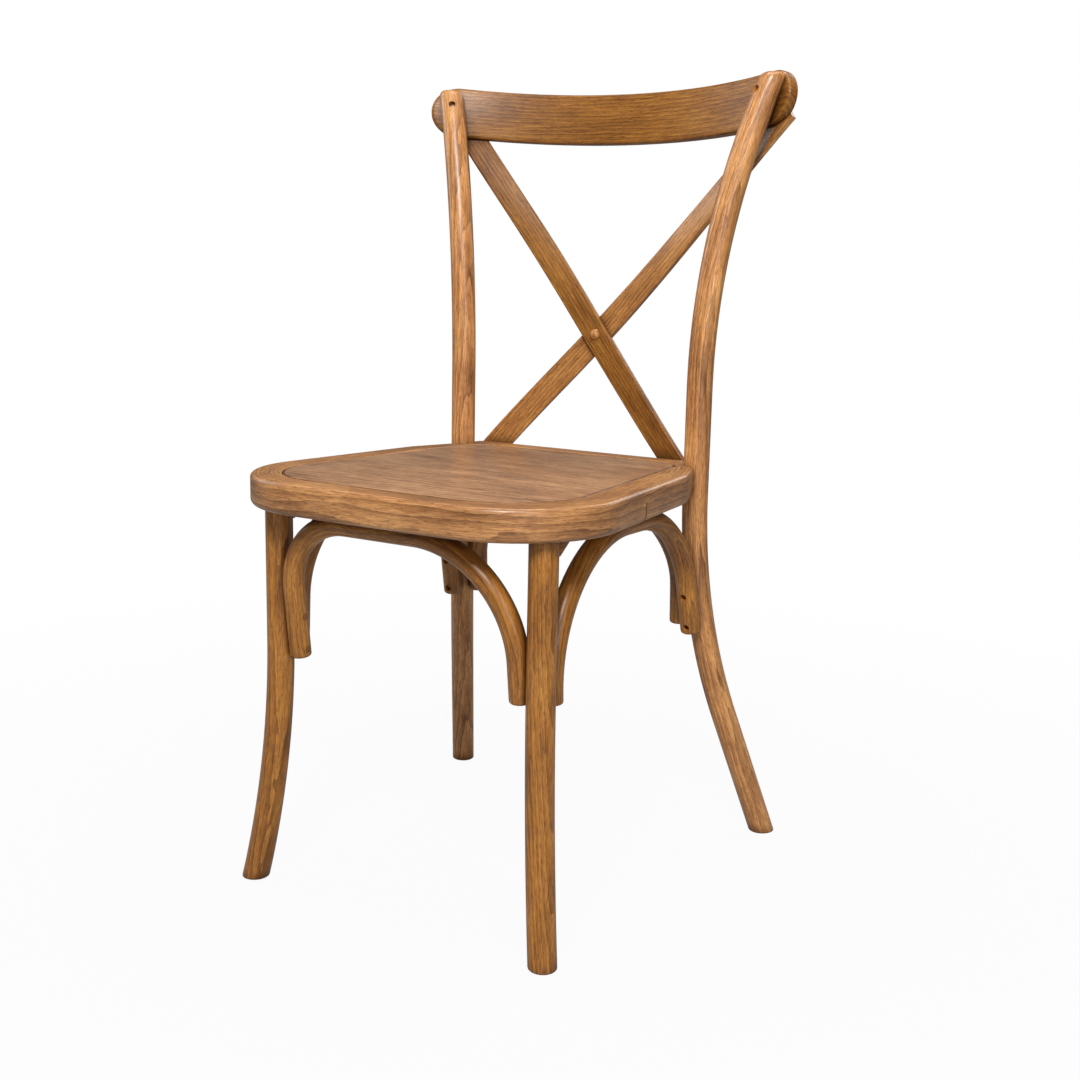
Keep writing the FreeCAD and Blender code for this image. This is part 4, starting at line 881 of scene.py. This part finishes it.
ARCHES = {
    # place, first end, last end, their drops, their corners, the last end's spread, side, ends plugged
    "front": (arch_frame(0, LEG_Y - 0.017, 0, 7), -front_reach, front_reach, FRONT_DROP, FRONT_DROP,
              0.080, 0.118, 0, 1, (0, 1)),
    "rear": (arch_frame(0, rear_top_y, 0, 3), -rear_reach, rear_reach, REAR_DROP, REAR_DROP,
             0.100, 0.100, 0, 1, (0, 1)),
    "left": (side_frame, 0, side_run, SIDE_DROP_FRONT, SIDE_DROP_REAR, 0.095, 0.115, SPREAD, -1, (0,)),
    "right": (side_frame, 0, side_run, SIDE_DROP_FRONT, SIDE_DROP_REAR, 0.148, 0.115, SPREAD, 1, (0,)),
}
arch_pith = {"front": (0.030, 0.040, 0.0), "rear": (-0.04, 0.02, 0.3),
             "left": (0.045, -0.015, 0.6), "right": (-0.028, 0.040, 0.2)}
end_screws, end_plugs, seat_screws = [], [], []
for word, settings in ARCHES.items():
    stand, start, end, drop_start, drop_end, radius_start, radius_end, spread, side, plugged = settings
    flat = arch_line(start, end, -drop_start, -drop_end, radius_start, radius_end, spread)
    arch = bent_rod(f"bent_arch_{word}", mirrored([stand @ p for p in flat], side), ARCH_RADIUS, ARCH_SOFT)
    holes = []
    inward = (Vector((-1, 0, 0)), Vector((math.cos(spread), 0, math.sin(spread))))
    for number, (along, drop, into) in enumerate(zip((start, end), (drop_start, drop_end), inward)):
        upward = Vector((-into.z, 0, abs(into.x)))
        for step in range(2):
            spot = Vector((along, 0, -drop)) + upward * (END_LOW + step * END_PITCH)
            at = stand @ (spot - into * (ARCH_RADIUS - SUNK))
            at, way = mirrored([at, stand.to_3x3() @ into], side)
            end_screws.append((at, way))
            holes.append((at, way, BORE_RADIUS, BORE_LONG))
            if number in plugged:
                end_plugs.append((at - way * (SUNK - 0.0004), way))
    middle = (start + radius_start + end - radius_end) / 2
    for step in (-TOP_SCREW_APART, TOP_SCREW_APART):
        at = mirrored([stand @ Vector((middle + step, 0, TOP_SCREW_SUNK - 2 * ARCH_RADIUS))], side)[0]
        seat_screws.append((at, Vector((0, 0, 1))))
        holes.append((at, Vector((0, 0, 1)), TOP_SCREW_BORE, 0.01))
    creased(drilled(arch, holes), 50)
    wood = stained_elm(f"elm_arch_{word}", arch_pith[word], 2.2, 0.89)
    bored_and_fitted(arch, wood, "stained_elm", f"arch_{word}")


# Screws
# Countersunk wood screws of browned steel with a cross cut in the head. They hold the arches, the rail,
# the slats and the button, and all take the same bit.
def on_points(tree, given, part):
    """Sets a part on each point, looking along the point's own way."""
    way = add(tree, "GeometryNodeInputNamedAttribute", {"Name": "way"}, data_type="FLOAT_VECTOR")
    aimed = add(tree, "FunctionNodeAlignRotationToVector", {"Vector": way.outputs["Attribute"]}, axis="Z")
    inputs = {"Points": given["Geometry"], "Instance": part, "Rotation": aimed.outputs["Rotation"]}
    return add(tree, "GeometryNodeInstanceOnPoints", inputs).outputs["Instances"]


def sunk_rod(tree, facets, radius, length, start):
    """A straight rod that begins at a height and runs on upwards."""
    rod = add(tree, "GeometryNodeMeshCylinder", {"Vertices": facets, "Radius": radius, "Depth": length})
    rise = math_step(tree, "ADD", math_step(tree, "MULTIPLY", length, 0.5), start)
    place = add(tree, "ShaderNodeCombineXYZ", {"Z": rise}).outputs["Vector"]
    inputs = {"Geometry": rod.outputs["Mesh"], "Translation": place}
    return add(tree, "GeometryNodeTransform", inputs).outputs["Geometry"]


def screw_nodes():
    """A screw on each point, with a cross cut in its head."""
    tree, given = new_tree("driven_screws", Head="Float", Rise="Float", Shank="Float", Length="Float",
                           Finish="Material")

    def share_of(socket, share):
        return math_step(tree, "MULTIPLY", given[socket], share)

    head = add(tree, "GeometryNodeMeshCone",
               {"Vertices": 28, "Depth": given["Rise"], "Radius Bottom": share_of("Head", 0.5),
                "Radius Top": share_of("Shank", 0.5)})
    long, thin, deep = share_of("Head", 0.56), share_of("Head", 0.15), share_of("Rise", 1.1)
    cross = add(tree, "GeometryNodeMeshBoolean", {"Mesh 1": head.outputs["Mesh"]},
                operation="DIFFERENCE", solver="EXACT")
    for first, second in ((long, thin), (thin, long)):
        size = add(tree, "ShaderNodeCombineXYZ", {"X": first, "Y": second, "Z": deep})
        bar = add(tree, "GeometryNodeMeshCube", {"Size": size.outputs["Vector"]})
        feed(cross, {"Mesh 2": bar.outputs["Mesh"]})
    shank = sunk_rod(tree, 16, share_of("Shank", 0.49), given["Length"], share_of("Rise", 0.7))
    whole = add(tree, "GeometryNodeJoinGeometry", {"Geometry": cross.outputs["Mesh"]})
    feed(whole, {"Geometry": shank})
    return end_tree(tree, on_points(tree, given, whole.outputs["Geometry"]), finish=given["Finish"])


screw_tree = screw_nodes()


def browned_steel():
    """Steel gone brown under the stain, with its roughness in specks."""
    material, tree, surface = new_material("browned_steel")
    place = add(tree, "ShaderNodeTexCoord").outputs["Object"]
    specks = add(tree, "ShaderNodeTexNoise", {"Scale": 900, "Detail": 4, "Vector": place}).outputs["Fac"]
    tint = ramp(tree, specks, (0.35, (0.42, 0.15, 0.07)), (0.65, (0.80, 0.42, 0.26)))
    worn = add(tree, "ShaderNodeMapRange", {"To Min": 0.55, "To Max": 0.32, "Value": specks})
    feed(surface, {"Base Color": tint, "Roughness": worn.outputs["Result"], "Metallic": 0.35})
    return material


screw_steel = browned_steel()


def aimed_points(name, places):
    """A cloud of points that each know which way to look."""
    mesh = bpy.data.meshes.new(name)
    mesh.from_pydata([tuple(at) for at, _ in places], [], [])
    way = mesh.attributes.new("way", "FLOAT_VECTOR", "POINT")
    way.data.foreach_set("vector", np.array([tuple(turn) for _, turn in places], np.float32).ravel())
    return placed(name, mesh)


def driven_screws(name, places, length, node):
    """A group of screws of one length, which stands for one CAD node."""
    group = aimed_points(name, places)
    with_inputs(group, screw_tree, Head=0.0076, Rise=0.003, Shank=0.004, Length=length, Finish=screw_steel)
    creased(settled(group), 30)
    fitted(group, screw_steel, "screw_steel", node)


SLAT_SCREW = 0.009 / (SLAT_HEAD - SLAT_FOOT)
slat_screws = []
for foot_x, head_x, layer in SLATS.values():
    for share in (SLAT_SCREW, 1 - SLAT_SCREW):
        here, normal = slat_place(foot_x, head_x, layer, share)
        slat_screws.append((here + normal * (SLAT_THICK / 2 - 0.0002), -normal))
cross_here, cross_normal = slat_place(*SLATS["front"], cross_share)
button_screws = [(cross_here + cross_normal * (1.5 * SLAT_THICK), -cross_normal)]
driven_screws("arch_end_wood_screws", end_screws, 0.020, "arch_end_screws")
driven_screws("arch_top_wood_screws", seat_screws, 0.030, "arch_seat_screws")
driven_screws("rail_wood_screws", rail_screws, 0.022, "crest_rail_screws")
driven_screws("slat_wood_screws", slat_screws, 0.012, "slat_screws")
driven_screws("button_wood_screw", button_screws, 0.008, "cross_screw")


# Plugs
# Short cross-cut pegs of a darker offcut. They are glued over the sunk screws in the arch ends and pared
# flush.
def plug_nodes():
    """A peg on each point, sunk along the point's own way."""
    tree, given = new_tree("glued_plugs", Diameter="Float", Length="Float")
    peg = sunk_rod(tree, 32, math_step(tree, "MULTIPLY", given["Diameter"], 0.49), given["Length"], 0.0)
    grain = add(tree, "GeometryNodeInputPosition").outputs["Position"]
    return end_tree(tree, on_points(tree, given, peg), grain)


plug_tree = plug_nodes()
plugs = aimed_points("glued_plugs", end_plugs)
with_inputs(plugs, plug_tree, Diameter=2 * BORE_RADIUS, Length=SUNK - 0.0008)
creased(settled(plugs), 30)
fitted(plugs, stained_elm("elm_plug", (0.01, 0.02, 0), 12, 0.62), "plug_wood", "arch_end_plugs")


# Post bolts
# A lag bolt from inside the seat frame pulls each post into its corner. Only their heads can be seen,
# from underneath, so the CAD pieces stay and take the screws' steel.
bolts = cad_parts["post_bolts"]
bolts.data.materials.clear()
bolts.data.materials.append(screw_steel)


# Studio
# A pale sweep of floor under a high soft light in front, with weaker ones above, behind and on both
# sides.
def plain_floor():
    half = 6.0
    mesh = bpy.data.meshes.new("studio_floor")
    corners = [(-half, -half, 0), (half, -half, 0), (half, half, 0), (-half, half, 0)]
    mesh.from_pydata(corners, [], [(0, 1, 2, 3)])
    floor = placed("studio_floor", mesh)
    floor.location.z = -0.0005
    material, tree, matt = new_material("pale_floor")
    feed(matt, {"Base Color": (0.35, 0.35, 0.35, 1), "Roughness": 0.9})
    glow = add(tree, "ShaderNodeEmission", {"Strength": 1.0})
    place = add(tree, "ShaderNodeTexCoord").outputs["Object"]
    away = add(tree, "ShaderNodeVectorMath", {0: place}, operation="LENGTH").outputs["Value"]
    far = add(tree, "ShaderNodeMapRange",
              {"Value": away, "From Min": 0.45, "From Max": 1.5, "To Min": 0.95, "To Max": 1.0})
    seen = add(tree, "ShaderNodeLightPath").outputs["Is Camera Ray"]
    share = math_step(tree, "MULTIPLY", seen, far.outputs["Result"])
    both = add(tree, "ShaderNodeMixShader",
               {"Fac": share, 1: matt.outputs["BSDF"], 2: glow.outputs["Emission"]})
    feed(tree.nodes["Material Output"], {"Surface": both.outputs["Shader"]})
    mesh.materials.append(material)


def soft_light(name, place, aim, across, power):
    data = bpy.data.lights.new(name, "AREA")
    data.shape = "RECTANGLE"
    data.size, data.size_y = across
    data.energy = power
    lamp = bpy.data.objects.new(name, data)
    lamp.location = place
    lamp.rotation_euler = (Vector(aim) - Vector(place)).to_track_quat("-Z", "Y").to_euler()
    bpy.context.scene.collection.objects.link(lamp)


plain_floor()
middle = (0, 0, 0.45)
soft_light("key", (0.95, -2.05, 2.35), middle, (0.8, 0.8), 90)
soft_light("side", (-2.7, -0.4, 1.8), middle, (1.2, 1.6), 24)
soft_light("near", (2.2, -1.7, 1.1), middle, (0.7, 1.2), 18)
soft_light("back", (0.5, 2.4, 1.9), middle, (1.4, 1.4), 22)
soft_light("top", (0.0, 0.1, 2.8), middle, (1.6, 1.6), 34)

world = bpy.data.worlds.new("studio")
world.use_nodes = True
bpy.context.scene.world = world
sky = world.node_tree
ambient = feed(sky.nodes["Background"], {"Color": (1, 1, 1, 1), "Strength": 0.09})
white = add(sky, "ShaderNodeBackground", {"Color": (1, 1, 1, 1), "Strength": 1.0})
rays = add(sky, "ShaderNodeLightPath").outputs
clear_view = math_step(sky, "MAXIMUM", rays["Is Camera Ray"], rays["Is Transmission Ray"])
backdrop = add(sky, "ShaderNodeMixShader",
               {"Fac": clear_view, 1: ambient.outputs["Background"], 2: white.outputs["Background"]})
feed(sky.nodes["World Output"], {"Surface": backdrop.outputs["Shader"]})

camera = bpy.data.objects.new("camera", bpy.data.cameras.new("camera"))
camera.data.sensor_width = 36
camera.data.lens = 47.17
camera.matrix_world = (Matrix.Translation((0.8709, -1.3263, 0.6839))
                       @ Matrix.Rotation(math.radians(32.07), 4, "Z")
                       @ Matrix.Rotation(math.radians(90 - 10.97), 4, "X")
                       @ Matrix.Rotation(math.radians(1.18), 4, "Z"))
bpy.context.scene.collection.objects.link(camera)
bpy.context.scene.camera = camera
bpy.context.scene.view_settings.view_transform = "Standard"
